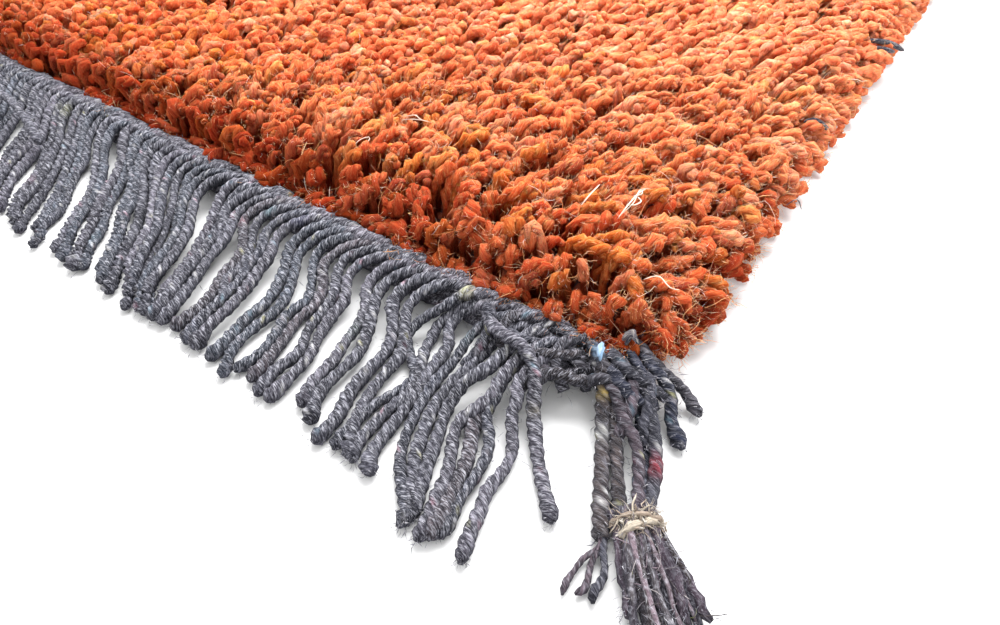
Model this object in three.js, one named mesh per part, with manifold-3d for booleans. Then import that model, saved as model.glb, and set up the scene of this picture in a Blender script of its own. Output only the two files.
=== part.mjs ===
// Hand-knotted shaggy wool rug: a thick knotted field, a plaited edge and a cord fringe at both ends,
// and the tassel that the plait leaves at one corner of each end.
// Millimetres. Origin at the middle of the underside, +Z up, the long sides along Y.
// The near end is the one at -Y. The far end is the same, turned half round about Z.

import * as THREE from "three";
import { mergeVertices } from "three/addons/utils/BufferGeometryUtils.js";
import Module from "manifold-3d";

// Driving sizes
const FIELD_WIDTH = 600;
const FIELD_LENGTH = 900;
const PILE_HEIGHT = 28.5;
const SIDE_OVERHANG = 9;
const CORNER_RADIUS = 26;
const PIECE_GAP = 0.3;
const PLAIT_WIDTH = 12.6;
const PLAIT_HEIGHT = 13;
const PLAIT_HALF_LENGTH = 288;
const FRINGE_LENGTH = 63;
const CORD_THICKNESS = 4.8;

// Knotted field: how its edge is rounded. It is widest at the edge height, and rounds over the
// shoulder to the top and under the tuck to the flat underside.
const SIDE_EDGE = { height: 13, tuck: 7 };
const END_EDGE = { height: 7, tuck: 1.3 };
const SHOULDER = 19;
const EDGE_INSETS = [0, 1.3, 4.8, 10.5, SHOULDER];
const FIELD_CELL = 46;
const SIDE_RIPPLE = 2;
const SIDE_RIPPLE_PERIOD = 150;

// Knotted field: the long, low swells of its top, each a wave over X and Y
const SWELLS = [
  { height: 0.9, perX: 0.019, perY: 0.011 },
  { height: 0.6, perX: -0.027, perY: 0.023 },
];

// Plaited edge
const PLAIT_SIDES = 10;
const PLAIT_STEPS = 40;
const PLAIT_UNEVEN = 0.03;
const PLAIT_UNEVEN_PERIOD = 73;
const PLAIT_FLATTENING = 1.12;

// Fringe: its strip beside the plait, and the clumps of two cords that leave it
const STRIP_DEPTH = 4;
const STRIP_UNDERSIDE = 1;
const STRIP_TOP = 8.2;
const ROOT_DEPTH = 1.5;
const CLUMP_PITCH = 12.1;
const CLUMP_WIDTH = 8.6;
const FIRST_CLUMP_X = -281;
const LAST_CLUMP_X = 222;
const CLUMP_LEAN = 17;
const CREST = 0.62;

// Fringe: slow waves over the clumps in their lean and length. The turn is in radians a clump.
const LEAN_WAVES = [
  { size: 2.2, turn: 1.9, start: 0 },
  { size: 1.4, turn: 0.7, start: Math.PI },
];
const LENGTH_WAVES = [{ size: 2.5, turn: 1.3, start: 1 }];

// One clump from root to tip: share of its length, share of its sideways lean,
// height of its underside, and share of its width
const CLUMP_RUN = [
  { along: 0, lean: 0, underside: 2.7, width: 0.92 },
  { along: 0.24, lean: 0.18, underside: 1.4, width: 1 },
  { along: 0.46, lean: 0.42, underside: 0, width: 0.96 },
  { along: 0.8, lean: 0.82, underside: 0, width: 0.92 },
  { along: 1, lean: 1, underside: 0, width: 1.06 },
];

// The wider clumps and the lone cord next to the corner
const CORNER_CLUMPS = [
  { rootX: 236, tipX: 247, length: 60, width: 14 },
  { rootX: 256, tipX: 279, length: 63, width: 17 },
  { rootX: 273, tipX: 299, length: 41, width: 5.4 },
];

// Corner tassel: the knot that ends the plait, and the cords that leave it
const KNOT = [
  { x: 288.4, y: -456.8, underside: 0.6, width: 11.4, height: 11.6 },
  { x: 294, y: -456.8, underside: 0.3, width: 11.6, height: 11.8 },
  { x: 299.5, y: -459, underside: 0.5, width: 9, height: 9.5 },
  { x: 303, y: -460.5, underside: 1.2, width: 5.6, height: 6 },
];
const TASSEL_CORDS = [
  [
    { x: 291, y: -461, underside: 3, width: 5.4, height: 5 },
    { x: 297, y: -471, underside: 2.2, width: 6, height: 5 },
    { x: 305, y: -487, underside: 0, width: 6, height: 4.8 },
    { x: 311.5, y: -502, underside: 0, width: 6, height: 4.6 },
    { x: 314, y: -511, underside: 0, width: 9, height: 3 },
    { x: 315, y: -518.5, underside: 0, width: 11, height: 2.4 },
  ],
  [
    { x: 296, y: -459.5, underside: 3.4, width: 10, height: 5.4 },
    { x: 304, y: -470, underside: 2.4, width: 11.4, height: 5.2 },
    { x: 312, y: -483, underside: 0, width: 11.4, height: 5 },
    { x: 318.5, y: -494, underside: 0, width: 11.5, height: 5.2 },
    { x: 325, y: -506, underside: 0, width: 15, height: 6 },
    { x: 331, y: -518, underside: 0, width: 17, height: 5.2 },
    { x: 336, y: -528.5, underside: 0, width: 16, height: 3.4 },
  ],
  [
    { x: 298, y: -457, underside: 3.8, width: 4.6, height: 4.4 },
    { x: 306, y: -458.5, underside: 2.6, width: 4.8, height: 4.4 },
    { x: 312.5, y: -461.5, underside: 0.6, width: 4.8, height: 4.4 },
    { x: 318.5, y: -466.5, underside: 0, width: 5, height: 4.4 },
  ],
  [
    { x: 299, y: -455.5, underside: 4.2, width: 4.2, height: 4.2 },
    { x: 306, y: -454, underside: 3, width: 4.4, height: 4.2 },
    { x: 312, y: -453.2, underside: 1.2, width: 4.4, height: 4.2 },
    { x: 318, y: -453.4, underside: 0, width: 4.8, height: 4.2 },
  ],
];

// Colours and finish of the two yarns
const PILE_YARN = { color: 0xb4501f, roughness: 0.95, metalness: 0 };
const WARP_YARN = { color: 0x55555c, roughness: 0.92, metalness: 0 };

const wasm = await Module();
wasm.setup();

// Turns a closed geometry into a solid that can be joined to others.
function solidFrom(geometry) {
  const bare = new THREE.BufferGeometry();
  bare.setAttribute("position", geometry.getAttribute("position").clone());
  bare.setIndex(geometry.getIndex());
  const merged = mergeVertices(bare, 1e-4);
  const mesh = new wasm.Mesh({
    numProp: 3,
    vertProperties: merged.getAttribute("position").array,
    triVerts: new Uint32Array(merged.getIndex().array),
  });
  return new wasm.Manifold(mesh);
}

// Turns a joined solid back into a geometry.
function geometryFrom(solid) {
  const mesh = solid.getMesh();
  const geometry = new THREE.BufferGeometry();
  geometry.setAttribute("position", new THREE.BufferAttribute(mesh.vertProperties, 3));
  geometry.setIndex(new THREE.BufferAttribute(mesh.triVerts, 1));
  return geometry;
}

// Joins overlapping closed geometries into one.
function joined(geometries) {
  const whole = geometries.map(solidFrom).reduce((sum, next) => sum.add(next));
  return geometryFrom(whole);
}

// A geometry from corner points and triangles that name them.
function facets(points, triangles) {
  const geometry = new THREE.BufferGeometry();
  geometry.setAttribute("position", new THREE.Float32BufferAttribute(points.flat(), 3));
  geometry.setIndex(triangles.flat());
  return geometry;
}

// Skins a row of rings with the same number of points, and closes both ends with flat fans.
// Each ring turns anticlockwise as seen from the end that the row runs to.
function lofted(rings) {
  const sides = rings[0].length;
  const triangles = [];
  for (let ring = 0; ring + 1 < rings.length; ring += 1) {
    for (let side = 0; side < sides; side += 1) {
      const here = ring * sides + side;
      const beside = ring * sides + ((side + 1) % sides);
      triangles.push([here, beside, beside + sides]);
      triangles.push([here, beside + sides, here + sides]);
    }
  }
  const last = (rings.length - 1) * sides;
  for (let side = 1; side + 1 < sides; side += 1) {
    triangles.push([0, side + 1, side]);
    triangles.push([last, last + side, last + side + 1]);
  }
  return facets(rings.flat(), triangles);
}

// Grid lines across the field: close together over the rounded edges, even in between.
function gridLines(size) {
  const half = size / 2;
  const inner = size - 2 * SHOULDER;
  const cells = Math.round(inner / FIELD_CELL);
  const left = EDGE_INSETS.map((inset) => inset - half);
  const middle = Array.from({ length: cells - 1 }, (_, i) => SHOULDER - half + ((i + 1) * inner) / cells);
  const right = EDGE_INSETS.map((inset) => half - inset).reverse();
  return [...left, ...middle, ...right];
}

// Height of a quarter-ellipse that climbs from 0 to 1 over its span.
function quarterArch(distance, span) {
  const share = Math.min(distance / span, 1);
  return Math.sqrt(1 - (1 - share) ** 2);
}

// How far the long side draws in at a place along it, faded out over the rounded edge.
function sideDrawIn(y, insetX) {
  const fade = Math.max(1 - insetX / SHOULDER, 0);
  return (fade * SIDE_RIPPLE * (1 - Math.cos((2 * Math.PI * y) / SIDE_RIPPLE_PERIOD))) / 2;
}

// The long swells of the top, faded out over the rounded edge.
function swell(x, y, depth) {
  const fade = Math.min(depth / SHOULDER, 1);
  const waves = SWELLS.map((wave) => wave.height * Math.cos(wave.perX * x + wave.perY * y));
  return fade * waves.reduce((sum, wave) => sum + wave, 0);
}

// One point of the field. Its plan is a rectangle with round corners. Round a corner, the edge
// turns from the long side's form to the end's.
function fieldPoint(x, y, isTop) {
  const halfWidth = FIELD_WIDTH / 2 + SIDE_OVERHANG;
  const halfLength = FIELD_LENGTH / 2;
  const insetX = halfWidth - Math.abs(x);
  const insetY = halfLength - Math.abs(y);
  const depth = Math.min(insetX, insetY);
  let outX = Math.abs(x) - sideDrawIn(y, insetX);
  let outY = Math.abs(y);
  let endShare = insetY < insetX ? 1 : 0;
  if (insetX < CORNER_RADIUS && insetY < CORNER_RADIUS) {
    const armX = CORNER_RADIUS - insetX;
    const armY = CORNER_RADIUS - insetY;
    const arm = Math.hypot(armX, armY);
    const squeeze = Math.max(armX, armY) / arm;
    outX += armX * squeeze - armX;
    outY += armY * squeeze - armY;
    endShare = (armY / arm) ** 2;
  }
  const edge = SIDE_EDGE.height + (END_EDGE.height - SIDE_EDGE.height) * endShare;
  const tuck = SIDE_EDGE.tuck + (END_EDGE.tuck - SIDE_EDGE.tuck) * endShare;
  const top = edge + (PILE_HEIGHT - edge) * quarterArch(depth, SHOULDER) + swell(x, y, depth);
  const underside = edge * (1 - quarterArch(depth, tuck));
  return [Math.sign(x) * outX, Math.sign(y) * outY, isTop ? top : underside];
}

// Knotted field: two grids, one over the top and one under it, that share their outer edge.
function fieldGeometry() {
  const columns = gridLines(FIELD_WIDTH + 2 * SIDE_OVERHANG);
  const rows = gridLines(FIELD_LENGTH);
  const points = [];
  const triangles = [];
  for (const isTop of [true, false]) {
    const first = points.length;
    for (const y of rows) {
      for (const x of columns) {
        points.push(fieldPoint(x, y, isTop));
      }
    }
    for (let row = 0; row + 1 < rows.length; row += 1) {
      for (let column = 0; column + 1 < columns.length; column += 1) {
        const a = first + row * columns.length + column;
        const b = a + 1;
        const c = b + columns.length;
        const d = a + columns.length;
        triangles.push(...(isTop ? [[a, b, c], [a, c, d]] : [[a, c, b], [a, d, c]]));
      }
    }
  }
  return facets(points, triangles);
}

// Plaited edge: a rounded rope with a flat underside, close beside the field, a little uneven.
function plaitGeometry() {
  const rings = [];
  for (let step = 0; step <= PLAIT_STEPS; step += 1) {
    const x = PLAIT_HALF_LENGTH * ((2 * step) / PLAIT_STEPS - 1);
    const size = 1 - PLAIT_UNEVEN * (1 - Math.cos((2 * Math.PI * x) / PLAIT_UNEVEN_PERIOD));
    const ring = [];
    for (let side = 0; side < PLAIT_SIDES; side += 1) {
      const angle = (2 * Math.PI * side) / PLAIT_SIDES;
      const out = (PLAIT_WIDTH / 2) * size * Math.cos(angle);
      const up = (PLAIT_HEIGHT / 2) * (1 + PLAIT_FLATTENING * size * Math.sin(angle));
      const y = -FIELD_LENGTH / 2 - PIECE_GAP - PLAIT_WIDTH / 2 + out;
      ring.push([x, y, Math.min(Math.max(up, 0), PLAIT_HEIGHT)]);
    }
    rings.push(ring);
  }
  return lofted(rings);
}

// A flattish bar that follows a list of stations in plan. Each station has a place, the height of
// its underside, a width and a height, and the bar's crest is narrower than its foot.
function barGeometry(stations) {
  const rings = stations.map((station, index) => {
    const before = stations[Math.max(index - 1, 0)];
    const after = stations[Math.min(index + 1, stations.length - 1)];
    const length = Math.hypot(after.x - before.x, after.y - before.y);
    const sideX = -(after.y - before.y) / length;
    const sideY = (after.x - before.x) / length;
    const corner = (across, up) => [
      station.x + sideX * across * station.width,
      station.y + sideY * across * station.width,
      station.underside + up * station.height,
    ];
    return [corner(0.5, 0), corner(0.5 * CREST, 1), corner(-0.5 * CREST, 1), corner(-0.5, 0)];
  });
  return lofted(rings);
}

// The stations of one fringe clump.
function clumpStations({ rootX, tipX, length, width }) {
  const rootY = -FIELD_LENGTH / 2 - PLAIT_WIDTH - 2 * PIECE_GAP - STRIP_DEPTH + ROOT_DEPTH;
  return CLUMP_RUN.map((station) => ({
    x: rootX + (tipX - rootX) * station.lean,
    y: rootY - length * station.along,
    underside: station.underside,
    width: width * station.width,
    height: CORD_THICKNESS,
  }));
}

// The sum of a list of waves at one clump.
function wavesAt(waves, index) {
  return waves.reduce((sum, wave) => sum + wave.size * Math.sin(index * wave.turn + wave.start), 0);
}

// The even clumps along the fringe.
function evenClumps() {
  const count = Math.round((LAST_CLUMP_X - FIRST_CLUMP_X) / CLUMP_PITCH) + 1;
  return Array.from({ length: count }, (_, index) => {
    const rootX = FIRST_CLUMP_X + index * CLUMP_PITCH;
    const tipX = rootX + CLUMP_LEAN + wavesAt(LEAN_WAVES, index);
    return { rootX, tipX, length: FRINGE_LENGTH + wavesAt(LENGTH_WAVES, index), width: CLUMP_WIDTH };
  });
}

// Fringe: one comb, a strip along the plait's outer side and the clumps that leave it.
function fringeGeometry() {
  const strip = new THREE.BoxGeometry(2 * PLAIT_HALF_LENGTH, STRIP_DEPTH, STRIP_TOP - STRIP_UNDERSIDE);
  const stripY = -FIELD_LENGTH / 2 - PLAIT_WIDTH - 2 * PIECE_GAP - STRIP_DEPTH / 2;
  strip.translate(0, stripY, (STRIP_TOP + STRIP_UNDERSIDE) / 2);
  const clumps = [...evenClumps(), ...CORNER_CLUMPS].map((clump) => barGeometry(clumpStations(clump)));
  return joined([strip, ...clumps]);
}

// Corner tassel: the knot at the plait's end and the loose cords that leave it.
function tasselGeometry() {
  return joined([barGeometry(KNOT), ...TASSEL_CORDS.map(barGeometry)]);
}

// A named piece with its yarn.
function piece(name, geometry, yarn) {
  const mesh = new THREE.Mesh(geometry, new THREE.MeshStandardMaterial(yarn));
  mesh.name = name;
  return mesh;
}

// The pieces of one end.
function endPieces(end) {
  const group = new THREE.Group();
  group.add(piece(`plaited_edge_${end}`, plaitGeometry(), WARP_YARN));
  group.add(piece(`fringe_${end}`, fringeGeometry(), WARP_YARN));
  group.add(piece(`corner_tassel_${end}`, tasselGeometry(), WARP_YARN));
  return group;
}

const rug = new THREE.Group();
rug.add(piece("knotted_field", fieldGeometry(), PILE_YARN));
const nearEnd = endPieces("near");
const farEnd = endPieces("far");
farEnd.rotation.z = Math.PI;
rug.add(nearEnd, farEnd);

export default rug;
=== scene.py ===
"""A shaggy hand-knotted wool rug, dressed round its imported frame.

Four sub-assemblies are built: the knotted field (woven ground and pile), the plaited edge, the cord fringe
and the corner tassel, the last three at both ends. Shapes are worked out in millimetres in the frame's own
axes: +Z up, the long sides along Y, the near end at -Y. They are turned into metres when a mesh is made.
The far end is the near end's make turned half round about Z, from other random draws.
"""

import logging
import math
from collections.abc import Sequence
from dataclasses import dataclass, field, replace
from enum import Enum

import bpy
import numpy as np
from numpy.typing import NDArray
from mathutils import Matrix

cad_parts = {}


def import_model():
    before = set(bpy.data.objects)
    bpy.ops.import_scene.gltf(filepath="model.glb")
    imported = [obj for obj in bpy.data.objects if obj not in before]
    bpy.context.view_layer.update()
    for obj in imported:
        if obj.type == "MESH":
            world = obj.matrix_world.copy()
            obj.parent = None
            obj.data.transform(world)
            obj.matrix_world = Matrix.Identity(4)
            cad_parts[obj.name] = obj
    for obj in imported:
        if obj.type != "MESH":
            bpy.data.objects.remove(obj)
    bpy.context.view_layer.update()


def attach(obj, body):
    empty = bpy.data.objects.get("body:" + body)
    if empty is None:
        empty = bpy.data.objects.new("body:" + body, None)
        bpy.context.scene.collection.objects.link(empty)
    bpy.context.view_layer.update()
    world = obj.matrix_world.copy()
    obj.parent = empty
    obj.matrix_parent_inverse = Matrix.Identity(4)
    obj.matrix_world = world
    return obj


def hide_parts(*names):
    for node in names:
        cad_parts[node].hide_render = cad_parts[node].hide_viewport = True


Array = NDArray[np.float64]
Draws = np.random.Generator
Material = bpy.types.Material
Piece = bpy.types.Object
Socket = bpy.types.NodeSocket
log = logging.getLogger("rug")

MM = 0.001
BODY = "root"

# The rug's main sizes, in millimetres
FIELD_WIDTH = 600.0
FIELD_LENGTH = 900.0
HALF_WIDTH = FIELD_WIDTH / 2
HALF_LENGTH = FIELD_LENGTH / 2
PILE_HEIGHT = 27.0
CORD_THICKNESS = 4.8
PLAIT_HALF_LENGTH = 288.0

# Names of the point attributes that every strand carries; the dye's alpha holds the painted share of light
DYE_AND_SHADE = "dye"
FIBRE = "fibre"
BAKE_MAP = "OFBake"


class End(Enum):
    """The two short ends of the rug, each with the sign that places it."""

    NEAR = 1.0
    FAR = -1.0

    @property
    def label(self) -> str:
        """The end's name in node and piece names."""
        return self.name.lower()

    @property
    def step(self) -> float:
        """Distance between two stations of a cord: the photographed end is made nearly twice as finely."""
        return 1.7 if self is End.NEAR else 3.2

    @property
    def hairiness(self) -> float:
        """Share of the near end's loose fibres that this end has."""
        return 1.0 if self is End.NEAR else 0.15

    def draws(self, seed: int) -> Draws:
        """A source of random draws from a seed: the far end's is a different one."""
        return np.random.default_rng(seed if self is End.NEAR else seed + 10)


class YarnSlot(Enum):
    """The rug's material slots."""

    PILE = "pile_yarn"
    WARP = "warp_yarn"


Colour = tuple[float, float, float]


def linear(red: float, green: float, blue: float) -> Colour:
    """Turn a colour as seen on a screen, 0 to 255, into linear light.

    Args:
        red: Screen red.
        green: Screen green.
        blue: Screen blue.
    Returns:
        The linear colour, each channel from 0 to 1.
    """
    screen = np.array([red, green, blue]) / 255.0
    light = np.where(screen <= 0.04045, screen / 12.92, ((screen + 0.055) / 1.055) ** 2.4)
    return tuple(float(channel) for channel in light)


def eased(value: Array, low: float, high: float) -> Array:
    """Climb smoothly from 0 at low to 1 at high, by 3t^2 - 2t^3 of the share t of the way."""
    share = np.clip((value - low) / (high - low), 0.0, 1.0)
    return share * share * (3.0 - 2.0 * share)


def fading(value: Array, low: float, high: float) -> Array:
    """Fall smoothly from 1 at low to 0 at high."""
    return 1.0 - eased(value, low, high)


def quarter_arch(distance: Array, span: float) -> Array:
    """Height of a quarter circle that climbs from 0 at its foot to 1 over its span."""
    share = np.clip(distance / span, 0.0, 1.0)
    return np.sqrt(1.0 - (1.0 - share) ** 2)


def unit(vectors: Array) -> Array:
    """Scale vectors to length one along the last axis."""
    return vectors / np.maximum(np.linalg.norm(vectors, axis=-1, keepdims=True), 1e-9)


def through_points(points: Array, stations: Array) -> Array:
    """Carry smooth curves through rows of points.

    Each curve is a Catmull-Rom spline: between two points it is a cubic whose slope at a point is half the
    step between that point's neighbours, and the first and last points count twice.

    Args:
        points: The points of each curve, shaped (curves, points, 3).
        stations: Places along every curve, from 0 to 1.
    Returns:
        Points on the curves, shaped (curves, stations, 3).
    """
    count = points.shape[1]
    place = np.clip(stations, 0.0, 1.0) * (count - 1)
    first = np.minimum(place.astype(int), count - 2)
    t = place - first
    near = np.clip(first[:, None] + np.arange(-1, 3), 0, count - 1)
    weights = 0.5 * np.stack(
        [-t + 2 * t**2 - t**3, 2 - 5 * t**2 + 3 * t**3, t + 4 * t**2 - 3 * t**3, -(t**2) + t**3],
        axis=1,
    )
    return np.einsum("kw,nkwc->nkc", weights, points[:, near])


def about_one(rng: Draws, spread: float, shape: tuple[int, ...]) -> Array:
    """Random factors round 1: the exponentials of normal draws with this spread."""
    return np.exp(rng.normal(0.0, spread, shape))


def keep_above(paths: Array, least: Array) -> None:
    """Lift every station that lies lower than its least height up to it."""
    paths[..., 2] = np.maximum(paths[..., 2], least)


def lengths_along(paths: Array) -> Array:
    """Distance from the start of each path to each of its stations, shaped (paths, stations)."""
    steps = np.linalg.norm(np.diff(paths, axis=1), axis=2)
    return np.concatenate([np.zeros((len(paths), 1)), np.cumsum(steps, axis=1)], axis=1)


def cross_frames(paths: Array) -> tuple[Array, Array]:
    """Carry a pair of cross directions along each path without turning them round it.

    The first pair is square to the path's start. At each further station the last direction is laid square
    to the new tangent, which is the rotation-minimising frame.

    Args:
        paths: Paths shaped (paths, stations, 3).
    Returns:
        The two cross directions, each shaped like the paths.
    """
    tangents = unit(np.gradient(paths, axis=1))
    steep = np.abs(tangents[:, 0, 2:3]) > 0.8
    guide = np.where(steep, np.array([1.0, 0.0, 0.0]), np.array([0.0, 0.0, 1.0]))
    across = np.empty_like(paths)
    last = np.cross(tangents[:, 0], guide)
    for station in range(paths.shape[1]):
        tangent = tangents[:, station]
        last = unit(last - np.sum(last * tangent, axis=1, keepdims=True) * tangent)
        across[:, station] = last
    return across, np.cross(tangents, across)


def twisted_plies(paths: Array, offsets: Array, turns: Array, start: Array, plies: int) -> Array:
    """Lay plies round each path as a yarn's plies lie round its axis.

    Ply p of a path stands off the path by its offset, at the angle start + 2 pi (turns so far + p / plies).

    Args:
        paths: Yarn axes, shaped (yarns, stations, 3).
        offsets: Distance of each ply's middle from the axis, shaped (yarns, stations).
        turns: Turns made from the start to each station, shaped (yarns, stations).
        start: Angle of the first ply at the start, shaped (yarns,).
        plies: Number of plies in a yarn.
    Returns:
        Ply paths, shaped (yarns * plies, stations, 3), the plies of one yarn side by side.
    """
    across, lift = cross_frames(paths)
    share = np.arange(plies) / plies
    angle = start[:, None, None] + 2 * np.pi * (turns[:, None, :] + share[None, :, None])
    out = np.cos(angle)[..., None] * across[:, None] + np.sin(angle)[..., None] * lift[:, None]
    laid = paths[:, None] + offsets[:, None, :, None] * out
    return laid.reshape(-1, *paths.shape[1:])


def fill(target: object, key: str, values: Array, kind: type = np.float32) -> None:
    """Put an array of values into a mesh's points, corners, faces or attribute."""
    target.foreach_set(key, values.astype(kind).ravel())


def placed(name: str, data: bpy.types.ID) -> Piece:
    """Make an object of a mesh, lamp or lens at the origin, and link it to the scene."""
    made = bpy.data.objects.new(name, data)
    bpy.context.scene.collection.objects.link(made)
    return made


@dataclass(frozen=True)
class Section:
    """The outline of a strand across its length, as a radius share for each side.

    A side that lies lower than the highest one is in a groove, and the lowest gets the groove's light.
    """

    shares: tuple[float, ...]
    groove_light: float = 1.0

    @property
    def sides(self) -> int:
        """The number of sides."""
        return len(self.shares)

    @property
    def light(self) -> Array:
        """The share of light at each side, falling with its depth in the groove."""
        depth = 1.0 - np.array(self.shares)
        return 1.0 - (1.0 - self.groove_light) * depth / max(float(depth.max()), 1e-9)


ROUND_PLY = Section((1.0,) * 5)
PEANUT = Section((1.0, 0.7, 0.7) * 2, groove_light=0.35)
THREE_LOBES = Section((1.0, 0.94, 0.76) * 3, groove_light=0.3)
HAIR = Section((1.0,) * 3)


# Where a strand's skin lies in its cell of the bake map, as shares of the cell
SKIN_LEFT = 0.04
SKIN_WIDTH = 0.92
SKIN_LOW = 0.12
SKIN_HEIGHT = 0.76


@dataclass(frozen=True)
class StrandBlock:
    """Strands of one make: their points and what each point carries, shaped (strands, points, channels).

    The dye has four channels: its linear colour, and the share of light that reaches the point.
    """

    points: Array
    fibre: Array
    dye: Array
    stations: int
    sides: int
    pointed: bool

    @property
    def rings(self) -> int:
        """Stations that have a ring of points: all of them, or all but the two points."""
        return self.stations - 2 if self.pointed else self.stations

    def faces(self) -> list[NDArray[np.int64]]:
        """Corner points of one strand's faces, in groups of equally many corners.

        Returns:
            The skin's faces, then the first end's and the last end's.
        """
        shift = int(self.pointed)
        station, side = np.meshgrid(np.arange(self.rings - 1), np.arange(self.sides), indexing="ij")
        here = (station * self.sides + side).ravel() + shift
        beside = (station * self.sides + (side + 1) % self.sides).ravel() + shift
        skin = np.stack([here, beside, beside + self.sides, here + self.sides], axis=1)
        ring = np.arange(self.sides) + shift
        last = ring + (self.rings - 1) * self.sides
        if not self.pointed:
            return [skin, ring[None, ::-1], last[None]]
        pole = np.zeros_like(ring)
        end = pole + self.rings * self.sides + 1
        start_fan = np.stack([pole, np.roll(ring, -1), ring], axis=1)
        end_fan = np.stack([last, np.roll(last, -1), end], axis=1)
        return [skin, start_fan, end_fan]

    def map_in_cell(self) -> list[Array]:
        """Places in a cell, from 0 to 1, of the corners that the faces list.

        The skin fills the cell's middle, side by side and station by station. The ends lie above and below
        it: a small polygon for a flat end, a row of triangles for a point.
        """
        station, side = np.meshgrid(np.arange(self.rings - 1), np.arange(self.sides), indexing="ij")
        left = SKIN_LEFT + SKIN_WIDTH * side.ravel() / self.sides
        right = left + SKIN_WIDTH / self.sides
        rows = max(self.rings - 1, 1)
        low = SKIN_LOW + SKIN_HEIGHT * station.ravel() / rows
        high = low + SKIN_HEIGHT / rows
        skin = np.stack([left, low, right, low, right, high, left, high], axis=1).reshape(-1, 4, 2)
        if not self.pointed:
            angle = 2 * np.pi * np.arange(self.sides) / self.sides
            disc = np.stack([0.5 + 0.3 * np.cos(angle), 0.045 * np.sin(angle)], axis=1)
            return [skin, (disc[::-1] + [0.0, 0.06])[None], (disc + [0.0, 0.94])[None]]
        left = SKIN_LEFT + SKIN_WIDTH * np.arange(self.sides) / self.sides
        right = left + SKIN_WIDTH / self.sides
        middle = (left + right) / 2
        foot, head = np.full(self.sides, 0.1), np.full(self.sides, 0.9)
        start_fan = np.stack([middle, foot - 0.08, right, foot, left, foot], axis=1)
        end_fan = np.stack([left, head, right, head, middle, head + 0.08], axis=1)
        return [skin, start_fan.reshape(-1, 3, 2), end_fan.reshape(-1, 3, 2)]


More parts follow.
